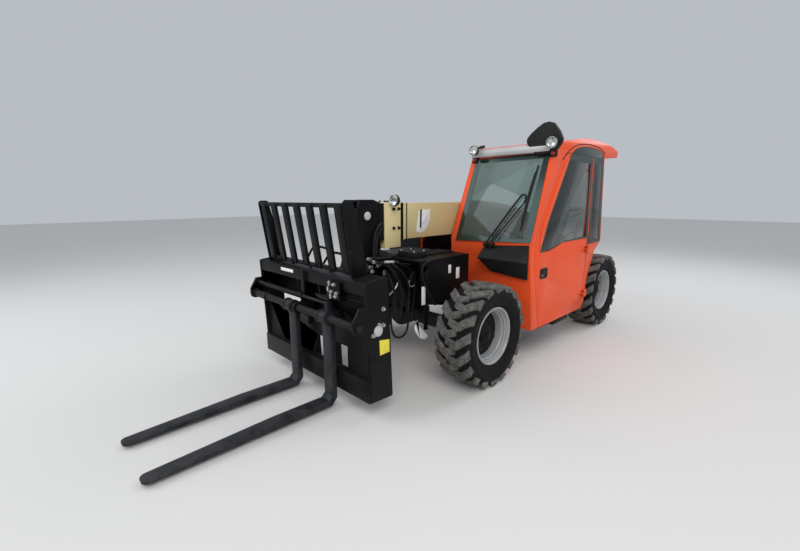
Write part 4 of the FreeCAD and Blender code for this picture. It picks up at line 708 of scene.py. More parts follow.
def treadLug():
    crown, foot = wheel["crown"], 0.350
    outline = [(-0.006, -0.046), (0.036, 0.040), (0.022, 0.076), (-0.042, 0.1515), (-0.124, 0.1515),
               (-0.054, 0.064), (-0.035, 0.044), (-0.060, -0.043)]
    bar = drawLine("treadLug", [(along, across, foot) for along, across in outline])
    bpy.ops.mesh.edge_face_add()
    bpy.ops.mesh.extrude_region_move(TRANSFORM_OT_translate={"value": (0, 0, crown - foot)})
    bpy.ops.transform.resize(value=(0.93, 0.97, 1))
    bpy.ops.mesh.select_all(action="SELECT")
    bpy.ops.mesh.normals_make_consistent(inside=False)
    closeEdit()
    settle(bar)
    for spot in bar.data.vertices:
        if spot.co.y > 0.13:
            drop = (spot.co.y - 0.13) / 0.02
            spot.co.z -= 0.008 * min(1.0, drop) if spot.co.z > 0.4 else 0
        # the crown follows the tyre's round
        if spot.co.z > 0.38:
            spot.co.z = math.sqrt(max(0.0, spot.co.z ** 2 - spot.co.x ** 2 * 0.9))
    bevelled(bar, 0.0035, 2, 25)
    return bar


def buildTyre():
    mirrored = [(radius, -across) for radius, across in reversed(carcassLine[:-1])]
    carcass = turned("carcass", carcassLine + mirrored, (0, 0, 0), "y", 72)
    bar = treadLug()
    pitch = math.tau / wheel["lugs"]
    bars = []
    for number in range(wheel["lugs"]):
        near = Matrix.Rotation(pitch * (number + 0.5), 4, "Y")
        bars.append(duplicate(bar, "bar", near))
        far = Matrix.Rotation(pitch * number, 4, "Y") @ Matrix.Scale(-1, 4, (0, 1, 0))
        bars.append(duplicate(bar, "bar", far))
    bpy.data.objects.remove(bar)
    return carcass, joined("lugs", bars)


carcass, lugs = buildTyre()
rimShell = turned("rimShell", rimLine, (0, 0, 0), "y", 64)
rimDisc = turned("rimDisc", discLine, (0, 0, 0), "y", 64)
rimHub = turned("rimHub", hubLine, (0, 0, 0), "y", 48)
hubTurn = Vector((0, 1, 0)).to_track_quat("Z", "Y").to_matrix().to_4x4()


def boltCircle(size, count, radius, y, shift):
    head = boltHead(size)
    circle = []
    for number in range(count):
        angle = math.tau * (number + shift) / count
        place = Matrix.Translation((radius * math.sin(angle), y, radius * math.cos(angle)))
        circle.append(duplicate(head, "nut", place @ hubTurn))
    bpy.data.objects.remove(head)
    return circle


rimCentre = joined("rimCentre", [rimHub, rimDisc] + boltCircle(*wheel["hubBolts"]))
nuts = boltCircle(*wheel["nuts"])
valve = turned("valve", [(0, 0), (0.006, 0), (0.006, 0.012), (0.004, 0.014), (0.004, 0.036), (0, 0.038)],
               (0.1945, 0.072, 0), "y", 12)
wheelNuts = joined("wheelNuts", nuts + [valve])
for corner, (x, y, way) in wheel["places"].items():
    place = Matrix.Translation((x, y, wheel["height"]))
    outward = place @ Matrix.Rotation(math.pi if way < 0 else 0, 4, "Z")
    body = "wheel_" + corner
    for name, piece, spot, look, nodes in (
            ("tyreWall_", carcass, place, "tyreWall", ["tyre_" + corner]),
            ("tyreLugs_", lugs, place, "tyreLug", []),
            ("rimShell_", rimShell, outward, "rimSilver", ["rim_" + corner]),
            ("rimCentre_", rimCentre, outward, "blackPaint", []),
            ("wheelNuts_", wheelNuts, outward, "castGrey", [])):
        dress(duplicate(piece, name + corner, spot), body, look, *nodes)
for spare in (carcass, lugs, rimShell, rimCentre, wheelNuts):
    bpy.data.objects.remove(spare)
print("wheels ready")


# In edit mode, with only the wanted faces selected
def pickFaces(piece, wanted):
    openEdit(piece, "DESELECT")
    bpy.ops.mesh.select_mode(type="FACE")
    closeEdit()
    for face in piece.data.polygons:
        face.select = wanted(face)
    bpy.ops.object.mode_set(mode="EDIT")


# Window edges: a black band stands on both faces of each cab pane
paneBand = {"width": 0.024, "stand": 0.002, "leastPane": 0.04}
band = meshCopy("cab_glass", "cab_glass_edge")
pickFaces(band, lambda face: face.area > paneBand["leastPane"])
bpy.ops.mesh.inset(thickness=paneBand["width"], use_boundary=True, use_individual=True)
bpy.ops.mesh.delete(type="FACE")
bpy.ops.mesh.select_all(action="SELECT")
bpy.ops.mesh.extrude_region_shrink_fatten(TRANSFORM_OT_shrink_fatten={"value": paneBand["stand"]})
bpy.ops.mesh.select_all(action="SELECT")
bpy.ops.mesh.normals_make_consistent(inside=False)
closeEdit()
smoothed(band, 30)
dress(band, bodyOf["cab_glass"], "sealRubber")

# Windscreen bonded over the pillars, its black edge band just outside it; the band's top, run up under the
# visor, also paints the visor's shadow
screen = {
    "corners": [(-0.274, 0.073, 1.073), (-0.284, 0.858, 1.097), (-0.6016, 0.828, 1.864),
                (-0.5941, 0.061, 1.846)],
    "inner": [(-0.2945, 0.124, 1.123), (-0.2945, 0.780, 1.123), (-0.581, 0.780, 1.814),
              (-0.579, 0.124, 1.809)],
    "out": Vector((0.924, 0, 0.383)), "gap": 0.0008, "glass": 0.005, "bandAt": 0.0059,
}


def onScreen(line, stand):
    return [Vector(spot) + screen["out"] * stand for spot in screen[line]]


screenPane = plate("screenPane", onScreen("corners", screen["gap"]), screen["out"] * screen["glass"], 0.001)
dress(screenPane, "chassis", "windowGlass", "windshield")
outerLine, innerLine = [onScreen(line, screen["bandAt"]) for line in ("corners", "inner")]
screenBand = ringPlate("screenBand", outerLine, innerLine, screen["out"] * screen["gap"], 0)
dress(screenBand, "chassis", "glassEdge")

# Side glass stands flush outside door and frame
sideFace = 0.8603
sideGlass = {
    "door": [(-0.446, 1.003), (-0.573, 1.275), (-0.953, 1.8787), (-1.476, 1.8787), (-1.503, 1.062),
             (-0.912, 1.062), (-0.666, 1.015)],
    "doorInner": [(-0.472, 1.022), (-0.588, 1.270), (-0.930, 1.812), (-1.416, 1.812), (-1.441, 1.084),
                  (-0.930, 1.068), (-0.672, 1.026)],
    "quarter": [(-1.510, 0.992), (-1.858, 1.000), (-1.768, 1.880), (-1.4815, 1.8806)],
    "quarterInner": [(-1.562, 1.064), (-1.796, 1.034), (-1.722, 1.816), (-1.534, 1.816)],
    "archTop": [(-0.957, 1.8812), (-1.083, 1.938), (-1.200, 1.956), (-1.300, 1.963), (-1.480, 1.962),
                (-1.640, 1.950), (-1.720, 1.930), (-1.755, 1.905), (-1.768, 1.8812)],
    "doorBrow": [(-0.438, 1.000), (-0.448, 1.183), (-0.523, 1.336), (-0.818, 1.779), (-0.895, 1.835),
                 (-0.928, 1.842), (-0.573, 1.277), (-0.446, 1.003)],
    "thick": 0.003, "bandAt": 0.0032, "band": 0.0008,
}
for name, body, nodes in (("door", "door", ["door_glass"]), ("quarter", "chassis", [])):
    pane = plate(name + "Pane", side(sideFace, sideGlass[name]), (0, sideGlass["thick"], 0), 0.0006)
    dress(pane, body, "sideGlass", *nodes)
    outside = sideFace + sideGlass["bandAt"]
    outerLine, innerLine = [side(outside, sideGlass[line]) for line in (name, name + "Inner")]
    band = ringPlate(name + "PaneBand", outerLine, innerLine, (0, sideGlass["band"], 0), 0)
    dress(band, body, "glassEdge")
archTop, doorBrow = side(sideFace, sideGlass["archTop"]), side(sideFace, sideGlass["doorBrow"])
addPlates("chassis", {"archPane": ("glassEdge", archTop, (0, 0.0038, 0), 0.0006)})
addPlates("door", {"doorBrow": ("orangePaint", doorBrow, (0, 0.0044, 0), 0.0015)})
pipe("doorEdgeRim", side(0.8645, [(-1.474, 1.872), (-1.499, 1.066)]), 0.0045, "door", "orangePaint", 2)
# an orange rim over the arch, and guard bars across the rear window, inside
guard = {"x": -1.745, "heights": (1.390, 1.350, 1.236), "span": (0.10, 0.782), "posts": (0.20, 0.52)}
addPipes("chassis", {"archRim": ("orangePaint", 0.0060, side(0.861, [
    (-0.90, 1.842), (-0.965, 1.898), (-1.083, 1.948), (-1.299, 1.973), (-1.490, 1.972), (-1.680, 1.955),
    (-1.765, 1.925), (-1.778, 1.87), (-1.866, 1.01)]))})
for number, z in enumerate(guard["heights"]):
    bar = front(guard["x"], [(y, z) for y in guard["span"]])
    pipe("guardBar%d" % number, bar, 0.006, "chassis", "labelWhite", 2)
for number, y in enumerate(guard["posts"]):
    post = [(guard["x"] - 0.055, y - 0.03, 1.03), (guard["x"] + 0.02, y, 1.86)]
    pipe("guardPost%d" % number, post, 0.008, "chassis", "orangePaint", 2)

# Cab front: lamps, mirror, wiper
lampRadius = 0.049


def workLamp(name, place, body, *node):
    rim = lampRadius
    shell = [(0.0, 0.0), (0.030, 0.002), (0.042, 0.012), (rim, 0.030), (rim, 0.048), (rim - 0.004, 0.050),
             (rim - 0.006, 0.044), (rim - 0.006, 0.030), (0.0, 0.026)]
    dress(turned(name + "_shell", shell, place, "x", 40), body, "blackPlastic", *node)
    bowl = [(0.0, 0.0265), (rim - 0.0065, 0.031), (rim - 0.0065, 0.042), (0.034, 0.036), (0.0, 0.029)]
    lens = [(0.0, 0.0425), (rim - 0.007, 0.0425), (rim - 0.007, 0.046), (0.030, 0.051), (0.0, 0.0525)]
    ring = [(rim - 0.008, 0.0475), (rim - 0.001, 0.0475), (rim - 0.001, 0.0525), (rim - 0.005, 0.054)]
    for part, look, line in (
            ("_bowl", "reflector", bowl), ("_lens", "lampLens", lens), ("_ring", "zinc", ring)):
        dress(turned(name + part, line, place, "x", 40), body, look)


workLamp("cabLampLeft", (-0.545, 0.88, 1.932), "chassis", "cab_lamps")
workLamp("cabLampRight", (-0.545, 0.088, 1.932), "chassis")
workLamp("boomLamp", (0.485, 0.036, 1.458), "outer_boom", "boom_lamp")
addSlabs("outer_boom", {
    "boomLampFoot": ("blackPaint", (0.488, -0.07, 1.4357), (0.512, 0.003, 1.4417), 0.002)})
stalkLine = [(-0.680, 1.9702), (-0.650, 1.9602), (-0.545, 1.944), (-0.545, 1.960), (-0.650, 1.990),
             (-0.680, 1.995)]
markerLine = [(0.0, 0.0), (0.019, 0.0), (0.019, 0.010), (0.016, 0.018), (0.008, 0.023), (0.0, 0.024)]
for name, stalkAt, y, z in (("left", 0.868, 0.862, 1.872), ("right", 0.076, 0.055, 1.866)):
    stalk = plate("lampStalk_" + name, side(stalkAt, stalkLine), (0, 0.024, 0), 0.003)
    dress(stalk, "chassis", "blackPaint")
    addSlabs("chassis", {"lampHolder_" + name: (
        "blackPlastic", (-0.596, y - 0.03, z - 0.05), (-0.572, y + 0.034, z + 0.03), 0.006)})
    marker = turned("marker_" + name, markerLine, (-0.5722, y + 0.004, z - 0.02), "x", 28)
    dress(marker, "chassis", "redLens")

mirror = {
    "outline": [(0.811, 2.118), (0.762, 2.111), (0.709, 2.080), (0.651, 2.036), (0.615, 1.998), (0.611, 1.960),
                (0.645, 1.909), (0.691, 1.859), (0.735, 1.838), (0.808, 1.846), (0.878, 1.861), (0.930, 1.925),
                (0.942, 1.968), (0.909, 2.037), (0.861, 2.099)],
    "middle": (0.777, 1.975), "glassShare": 0.84,
}
mirrorShell = plate("mirrorShell", front(-0.610, mirror["outline"]), (0.052, 0, 0), 0.016, 4)
dress(mirrorShell, "chassis", "blackPlastic", "cab_mirror")
share, (middleY, middleZ) = mirror["glassShare"], mirror["middle"]
glassLine = [(middleY + (y - middleY) * share, middleZ + (z - middleZ) * share)
             for y, z in mirror["outline"]]
addPlates("chassis", {"mirrorGlass": ("reflector", front(-0.6105, glassLine), (-0.003, 0, 0), 0.001)})
for number, (foot, bend, top) in enumerate((((-0.69, 0.845, 2.006), 2.06, 2.096),
                                            ((-0.74, 0.80, 2.030), 2.08, 2.066))):
    arm = [foot, (-0.66, 0.842, bend), (-0.606, 0.835, top)]
    pipe("mirrorArm%d" % number, arm, 0.0075, "chassis", "blackPaint")
clampLine = [(0.0, -0.022), (0.013, -0.022), (0.016, -0.012), (0.016, 0.012), (0.013, 0.022), (0.0, 0.022)]
addTurned("chassis", {"mirrorClamp": ("zinc", clampLine, (-0.600, 0.830, 2.098), "y", 20)})

wiper = {
    "base": (-0.236, 0.436, 1.062), "joint": (-0.421, 0.676, 1.501),
    "twinBase": (-0.233, 0.500, 1.060), "twinJoint": (-0.393, 0.715, 1.432),
    "low": Vector((-0.298, 0.743, 1.204)), "top": Vector((-0.528, 0.755, 1.758)),
    "out": Vector((0.9, 0, 0.38)).normalized(),
}


def onBlade(share, stand):
    return wiper["low"] + (wiper["top"] - wiper["low"]) * share + wiper["out"] * stand


addPipes("chassis", {
    "wiperArm": ("blackPlastic", 0.0095, [wiper["base"], (-0.32, 0.545, 1.27), wiper["joint"]]),
    "wiperTwinArm": ("blackPlastic", 0.00665, [wiper["twinBase"], (-0.31, 0.60, 1.25), wiper["twinJoint"]]),
    "wiperBlade": ("sealRubber", 0.0084, [onBlade(0, -0.012), onBlade(0.5, 0), onBlade(1, -0.012)]),
    "wiperSpine": ("blackPlastic", 0.011, [onBlade(0.12, 0), onBlade(0.5, 0.024), onBlade(0.88, 0)]),
    "wiperYoke": ("blackPlastic", 0.008, [wiper["joint"], onBlade(0.55, 0.02), wiper["twinJoint"]]),
})
postLine = [(0.0, -0.03), (0.022, -0.03), (0.022, 0.004), (0.016, 0.012), (0.0, 0.014)]
addTurned("chassis", {"wiperPost": ("blackPlastic", postLine, wiper["base"], "x", 24),
                      "wiperTwinPost": ("blackPlastic", postLine, wiper["twinBase"], "x", 24)})

# Scoop under the windscreen: a lit top that falls to a point
scoop = {
    "back": [(-0.287, 0.400, 1.045), (-0.287, 0.845, 1.080), (-0.287, 0.845, 0.775), (-0.287, 0.470, 0.812)],
    "tip": (-0.120, 0.430, 0.955), "outerTip": (-0.268, 0.845, 0.925), "middle": (0.6, 0.9), "foot": -0.283,
}
scoopShell = plate("scoopShell", scoop["back"], (0.02, 0, 0), 0)
for spot in scoopShell.data.vertices:
    if spot.co.x > -0.28 and spot.co.z > scoop["middle"][1]:
        spot.co = Vector(scoop["tip"] if spot.co.y < scoop["middle"][0] else scoop["outerTip"])
    elif spot.co.x > -0.28:
        spot.co.x = scoop["foot"]
bevelled(scoopShell, 0.007, 3)
dress(scoopShell, "chassis", "blackPlastic", "cowl")

# Door handle in its recess, lock, hinge caps and the seam's gasket
handle = {"centre": (-0.548, 0.806), "half": (0.068, 0.047), "well": (-0.63, 0.795),
          "wellHalf": (0.0455, 0.0505)}
hx, hz = handle["centre"]
wide, tall = handle["half"]


def around(less, lessTall, y):
    return [(hx + x * (wide - less), y, hz + z * (tall - lessTall)) for x, z in (
        (-0.8, -1), (0.8, -1), (1, -0.75), (1, 0.75), (0.8, 1), (-0.8, 1), (-1, 0.75), (-1, -0.75))]


(wx, wz), (wellX, wellZ) = handle["well"], handle["wellHalf"]
addSlabs("door", {
    "doorFill": ("orangePaint", (wx - wellX, 0.836, wz - wellZ), (wx + wellX, 0.8602, wz + wellZ), 0),
    "handlePull": ("blackPlastic", (hx - 0.044, 0.8612, hz - 0.004), (hx + 0.040, 0.8690, hz + 0.024)),
})
handleRim = ringPlate("handleRim", around(0, 0, 0.8604), around(0.018, 0.014, 0.8604), (0, 0.007, 0), 0.0015)
dress(handleRim, "door", "blackPlastic")
addPlates("door", {"handleWell": ("sealRubber", around(0.016, 0.012, 0.8603), (0, 0.0012, 0), 0)})
lockLine = [(0.0, 0.0), (0.009, 0.0), (0.009, 0.003), (0.0, 0.004)]
addTurned("door", {"doorLock": ("zinc", lockLine, (hx + 0.02, 0.8616, hz - 0.018), "y", 20)})
for number, z in enumerate((0.420, 0.900)):
    caps = side(0.868, [(-1.455, z + 0.028), (-1.455, z + 0.052), (-1.415, z + 0.040)])
    bolts("hingeBolts%d" % number, caps, (0, 1, 0), 0.006, "door", "blackPaint")
addPipes("chassis", {
    "doorGasket": ("sealRubber", 0.004, side(0.8475, [
        (-0.511, 0.31), (-0.359, 0.931), (-0.371, 1.121), (-0.487, 1.33), (-0.793, 1.815),
        (-0.80, 1.822)]), 2),
    "doorGasketArch": ("sealRubber", 0.0045, side(sideFace, [
        (-0.790, 1.815), (-0.868, 1.882), (-0.955, 1.925), (-1.083, 1.967), (-1.299, 1.992), (-1.490, 1.990),
        (-1.690, 1.972), (-1.790, 1.935)])),
    "doorGasketRear": ("sealRubber", 0.004, side(0.8475, [
        (-1.5075, 1.85), (-1.5095, 1.06), (-1.5015, 0.30)]), 2),
    "doorGasketLow": ("sealRubber", 0.004, side(0.8475, [(-0.515, 0.288), (-1.490, 0.288)]), 2),
})

# Inside: padded seat, belt, levers, dashboard
seat = {"shrink": 0.93, "voxel": 0.006, "quickVoxel": 0.014, "pressure": 4.0, "cap": 0.018, "channel": 0.006,
        "channelWidth": 0.009}


def padded(node, channels):
    soft = meshCopy(node, node + "_padded")
    middle = sum((spot.co for spot in soft.data.vertices), Vector()) / len(soft.data.vertices)
    shrunk = Matrix.Scale(seat["shrink"], 4)
    soft.data.transform(Matrix.Translation(middle) @ shrunk @ Matrix.Translation(-middle))
    mesher = soft.modifiers.new("voxels", "REMESH")
    mesher.mode = "VOXEL"
    mesher.voxel_size = seat["voxel"]
    pickOnly(soft)
    bpy.ops.object.modifier_apply(modifier="voxels")
    rounding = soft.modifiers.new("rounding", "SMOOTH")
    rounding.iterations = 14
    bpy.ops.object.modifier_apply(modifier="rounding")
    before = [spot.co.copy() for spot in soft.data.vertices]
    swell = soft.modifiers.new("swell", "CLOTH")
    swell.settings.use_pressure = True
    swell.settings.uniform_pressure_force = seat["pressure"]
    swell.settings.effector_weights.gravity = 0
    for number in range(1, 21):
        bpy.context.scene.frame_set(number)
    swollen = soft.evaluated_get(bpy.context.evaluated_depsgraph_get()).to_mesh()
    after = [spot.co.copy() for spot in swollen.vertices]
    soft.modifiers.remove(swell)
    for spot, old, new in zip(soft.data.vertices, before, after):
        move = new - old
        spot.co = old + move * min(1.0, seat["cap"] / max(move.length, 1e-6))
    bpy.context.scene.frame_set(1)
    for axis, value, along in channels:
        for spot in soft.data.vertices:
            off = (spot.co[axis] - value) / seat["channelWidth"]
            if abs(off) < 3:
                spot.co[along] -= seat["channel"] * math.exp(-off * off)
    smoothed(soft, 60)
    return dress(soft, "chassis", "seatCover", node)


# each sewn channel: the axis it crosses, where, and the axis it sinks along
padded("seat_cushion", [(1, 0.30, 2), (1, 0.56, 2), (0, -1.24, 2), (0, -1.02, 2)])
padded("seat_back", [(1, 0.30, 0), (1, 0.56, 0), (2, 1.25, 0), (2, 1.42, 0)])
print("seat padded")
knobLine = [(0.0, -0.03), (0.012, -0.028), (0.019, -0.008), (0.021, 0.012), (0.015, 0.028), (0.0, 0.032)]
for name, x in (("leverLeft", -0.86), ("leverRight", -0.92)):
    pipe(name, [(x, 0.115, 1.01), (x + 0.02, 0.118, 1.10), (x + 0.01, 0.12, 1.17)], 0.007, "chassis", "zinc")
    addTurned("chassis", {name + "Knob": ("blackPlastic", knobLine, (x + 0.01, 0.12, 1.185), "z", 24)})
dashLine = [(-0.40, 0.93), (-0.40, 1.06), (-0.455, 1.10), (-0.56, 1.03), (-0.52, 0.93)]
dialLine = [(0.0, 0.0), (0.026, 0.0), (0.028, 0.006), (0.024, 0.009), (0.0, 0.007)]
beltLine = [(-1.31, 0.212, 1.02), (-1.29, 0.205, 1.02), (-1.22, 0.178, 0.93), (-1.24, 0.178, 0.92)]
addPlates("chassis", {"dashboard": ("blackPlastic", side(0.14, dashLine), (0, 0.60, 0), 0.012, 3),
                      "seatBelt": ("sealRubber", beltLine, (0, 0.004, 0), 0.001)})
for number in range(3):
    dial = turned("dial%d" % number, dialLine, (-0.512, 0.36 + 0.07 * number, 1.068), "x", 28, -1)
    dress(dial, "chassis", "zinc")
addPipes("chassis", {"grabHandle": ("blackPlastic", 0.011, [
    (-0.52, 0.80, 1.00), (-0.55, 0.775, 1.05), (-0.62, 0.770, 1.30), (-0.66, 0.80, 1.40)])})
print("cab fitted")

# Boom: collar bolts, a black band that paints the shade of a narrow groove, ribs, blank angle plate with
# pointer and ticks, lines
collar = {"boltX": (0.487, 0.427), "boltZ": (1.386, 1.223), "boltY": (-0.19, -0.09), "band": (0.364, 0.399),
          "ribs": (("ribFront", 0.3505), ("ribRear", 0.318)), "left": -0.0199, "right": -0.2401,
          "high": 1.4351, "low": 1.1199}
for name, y, way in (("collarBolts", -0.014, 1), ("collarBoltsRight", -0.246, -1)):
    heads = side(y, [(x, z) for x in collar["boltX"] for z in collar["boltZ"]])
    bolts(name, heads, (0, way, 0), 0.011, "outer_boom", "castGrey")
heads = level(1.441, [(x, y) for x in collar["boltX"] for y in collar["boltY"]])
bolts("collarBoltsTop", heads, (0, 0, 1), 0.010, "outer_boom", "castGrey")
# The black band round the collar is painted shade: it stands for a narrow groove there
grooveShadeStart, grooveShadeEnd = collar["band"]
upright, across = oblong((grooveShadeStart, 1.119), (grooveShadeEnd, 1.436)), oblong((grooveShadeStart, -0.241), (grooveShadeEnd, -0.019))
addPlates("outer_boom", {
    "grooveShadeLeft": ("blackPaint", side(collar["left"], upright), (0, 0.002, 0), 0),
    "grooveShadeRight": ("blackPaint", side(collar["right"], upright), (0, -0.002, 0), 0),
    "grooveShadeTop": ("blackPaint", level(collar["high"], across), (0, 0, 0.002), 0),
    "grooveShadeLow": ("blackPaint", level(collar["low"], across), (0, 0, -0.002), 0),
})
for name, x in collar["ribs"]:
    for end, y, way in (("Left", collar["left"], 1), ("Right", collar["right"], -1)):
        rib = plate(name + end, side(y, oblong((x, 1.120), (x + 0.009, 1.435))), (0, 0.004 * way, 0), 0.001)
        dress(rib, "outer_boom", "blackPaint")
anglePlate = {
    "outline": [(0.195, 1.180), (0.160, 1.370), (0.010, 1.372), (0.012, 1.300), (0.030, 1.240), (0.060, 1.200),
                (0.100, 1.172), (0.150, 1.162)],
    "pointer": [(0.128, 1.375), (0.150, 1.375), (0.154, 1.215), (0.140, 1.205), (0.133, 1.215)],
    "pivot": (0.145, 1.372), "ticks": 7, "firstTick": 100, "tickStep": 12, "tickReach": (0.120, 0.140),
    "tickWidth": 0.004, "flatten": 0.9,
}
addPlates("outer_boom", {
    "anglePlate": ("labelWhite", side(-0.0199, anglePlate["outline"]), (0, 0.0025, 0), 0.0005),
    "anglePointer": ("pointerBlack", side(-0.0172, anglePlate["pointer"]), (0, 0.004, 0), 0.0008),
})
ticks = []
pivotX, pivotZ = anglePlate["pivot"]
for number in range(anglePlate["ticks"]):
    angle = math.radians(anglePlate["firstTick"] + anglePlate["tickStep"] * number)
    aside, down = math.sin(angle) * anglePlate["flatten"], math.cos(angle)
    (x0, z0), (x1, z1) = [(pivotX - reach * aside, pivotZ + reach * down) for reach in anglePlate["tickReach"]]
    outline = [(x0, z0), (x1, z1), (x1 + anglePlate["tickWidth"], z1), (x0 + anglePlate["tickWidth"], z0)]
    ticks.append(plate("tick%d" % number, side(-0.0173, outline), (0, 0.0008, 0), 0))
dress(joined("angleTicks", ticks), "outer_boom", "pointerBlack")
capLine = [(0.0, 0.0), (0.052, 0.0), (0.052, 0.012), (0.044, 0.018), (0.0, 0.018)]
addTurned("chassis", {"pivotCapLeft": ("zinc", capLine, (-2.29, 0.0065, 1.27), "y", 40, 1),
                      "pivotCapRight": ("zinc", capLine, (-2.29, -0.2665, 1.27), "y", 40, -1)})
addPlates("outer_boom", {"hoseTray": (
    "blackPaint", side(-0.2415, oblong((-1.9, 1.19), (-0.1, 1.27))), (0, -0.018, 0), 0.003)})
for number in range(3):
    z = 1.205 + 0.024 * number
    pipe("boomLine%d" % number, [(-2.0, -0.262, z), (-1.9, -0.268, z), (-0.1, -0.268, z),
                                 (0.05, -0.262, z + 0.01), (0.2, -0.250, z + 0.02)], 0.008, "outer_boom")
addSlabs("outer_boom", {"boomRearCover": ("blackPaint", (-2.398, -0.232, 1.128), (-2.3895, -0.028, 1.427))})
heads = front(-2.398, [(y, z) for y in (-0.215, -0.045) for z in (1.145, 1.41)])
bolts("rearCoverBolts", heads, (-1, 0, 0), 0.008, "outer_boom")
print("boom dressed")

# Boom head: covers, pin caps, fittings and hoses
for name, x, z, radius, reach, look in (("Base", 0.78, 1.336, 0.034, 0.1185, "greyPlastic"),
                                        ("Tilt", 0.91, 0.40, 0.036, 0.141, "zinc")):
    pinLine = [(0.0, 0.0), (radius, 0.0), (radius, 0.004), (radius - 0.004, 0.007), (0.0, 0.008)]
    for end, way in (("Left", 1), ("Right", -1)):
        cap = turned("pinCap" + name + end, pinLine, (x, -0.13 + way * reach, z), "y", 36, way)
        dress(cap, "inner_boom", look)
addPlates("inner_boom", {"headCover": (
    "blackPaint", front(0.8682, oblong((-0.238, 1.232), (-0.022, 1.395))), (0.005, 0, 0), 0.0015)})
addSlabs("inner_boom", {
    "headSideCover": ("blackPaint", (0.5975, -0.0195, 1.126), (0.646, -0.0145, 1.436), 0.0015),
    "headManifold": ("blackPaint", (0.600, -0.0195, 0.905), (0.790, -0.002, 0.990), 0.004),
})
outlets = [(0.755 - 0.034 * number, 0.962 - 0.008 * number) for number in range(5)]
fittingLine = [(0.0, 0.0), (0.013, 0.0), (0.013, 0.016), (0.010, 0.020), (0.010, 0.040), (0.014, 0.042),
               (0.014, 0.056), (0.0, 0.058)]
turnedRow("headFittings", fittingLine, side(-0.0185, outlets), "y", 6, "inner_boom", "zinc")
for number, (x, z) in enumerate(outlets):
    drop = 0.03 * number
    pipe("headHose%d" % number, [
        (x, 0.036, z), (x - 0.01, 0.075, z - 0.005), (x - 0.13, 0.085 + 0.004 * number, z - 0.02 - drop),
        (x - 0.24, 0.05, z - 0.01 - drop), (x - 0.20, 0.0, z + 0.035), (0.66, -0.018, 1.005 + 0.012 * number)],
        0.0085, "inner_boom")
addPipes("inner_boom", {
    "headCurveA": ("hoseBlack", 0.011, [(0.636, -0.006, 1.275)] + side(-0.004, [
        (0.66, 1.262), (0.71, 1.19), (0.722, 1.10), (0.728, 0.995)])),
    "headCurveB": ("hoseBlack", 0.009, [(0.636, -0.003, 1.235)] + side(-0.001, [
        (0.65, 1.222), (0.688, 1.16), (0.700, 1.08), (0.706, 0.99)])),
})
for number, y in enumerate((0.016, 0.036)):
    route = [(0.84, -0.012, 0.70), (0.86, y, 0.66), (0.90, y + 0.01, 0.56), (0.965, y + 0.014, 0.50),
             (1.03, y + 0.012, 0.53), (1.075, y, 0.60)]
    hose = tube("tiltHose%d" % number, route, 0.009)
    coated(hose, "hoseBlack")
    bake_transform(hose)
print("head dressed")

# Carriage: bolts, bosses, blank labels, shaft rings, hoses and valve fittings
carriage = {"faces": (("", "Near", 0.6, 1), ("Far", "Far", -0.85, -1)), "shaft": (1.375, 0.670),
            "bolts": [(1.171, 0.763), (1.173, 0.653), (1.208, 0.661), (1.261, 0.599)]}
bossLine = [(0.0, 0.0), (0.036, 0.0), (0.036, 0.008), (0.030, 0.013), (0.0, 0.014)]
for boltsName, name, y, way in carriage["faces"]:
    bolts("carriageBolts" + boltsName, side(y, carriage["bolts"]), (0, way, 0), 0.011, "carriage")
    addTurned("carriage", {"carriageBoss" + name: ("greyPlastic", bossLine, (1.218, y, 0.622), "y", 36, way)})
labelLine = [(1.206, 0.553), (1.118, 0.541), (1.116, 0.452), (1.203, 0.447)]
stripLine, strapLine = oblong((-0.481, 0.905), (-0.290, 0.930)), oblong((-0.150, 0.735), (-0.104, 0.955))
addPlates("carriage", {
    "carriageLabel": ("labelYellow", side(0.6002, labelLine), (0, 0.0012, 0), 0.0003),
    "carriageStrip": ("labelWhite", front(1.3105, stripLine), (0.0012, 0, 0), 0.0003),
    "carriageStrap": ("blackPaint", front(1.322, strapLine), (0.010, 0, 0)),
})
shaftX, shaftZ = carriage["shaft"]


def onShaft(*heights):
    return [(shaftX, y, shaftZ) for y in heights]


ringLine = [(0.0262, 0.0), (0.036, 0.0), (0.0375, 0.002), (0.0375, 0.016), (0.036, 0.018), (0.0262, 0.018)]
turnedRow("shaftRings", ringLine, onShaft(-0.837, -0.629), "y", 36, "carriage", "castGrey")
eyeLine = [(0.0268, 0.0), (0.0475, 0.0), (0.050, 0.002), (0.050, 0.015), (0.0475, 0.017), (0.0268, 0.017)]
turnedRow("eyeRingsLeft", eyeLine, onShaft(0.173, 0.260), "y", 40, "fork_left", "forkPaint")
turnedRow("eyeRingsRight", eyeLine, onShaft(-0.288, -0.201), "y", 40, "fork_right", "forkPaint")
loopLine = [(0.0, 0.0), (0.016, 0.0), (0.016, 0.018), (0.012, 0.022), (0.012, 0.040), (0.0, 0.040)]
for number, (y0, y1, y2, height, topX, topZ) in enumerate((   # foot, top and foot across, then heights
        (-0.42, -0.26, -0.06, 0.94, 1.085, 1.10), (-0.18, -0.03, 0.16, 0.94, 1.080, 1.07),
        (0.10, 0.24, 0.36, 0.93, 1.070, 1.03))):
    feet = [(1.118, y0, height), (1.118, y2, height)]
    shoulders = [(topX - 0.01, y * 0.8 + y1 * 0.2, topZ - 0.02) for y in (y0, y2)]
    loop = [feet[0], shoulders[0], (topX, y1, topZ), shoulders[1], feet[1]]
    pipe("carriageLoop%d" % number, loop, 0.010, "carriage")
    seats = [(x, y, z - 0.034) for x, y, z in feet]
    turnedRow("loopEnds%d" % number, loopLine, seats, "z", 6, "carriage", "zinc")
valveLine = [(0.0, 0.0), (0.013, 0.0), (0.013, 0.012), (0.010, 0.016), (0.010, 0.026), (0.0, 0.028)]
valveYs = [0.19 + 0.035 * number for number in range(3)]
turnedRow("valveEnds", valveLine, [(1.292, y, 0.818) for y in valveYs], "x", 6, "carriage", "zinc")
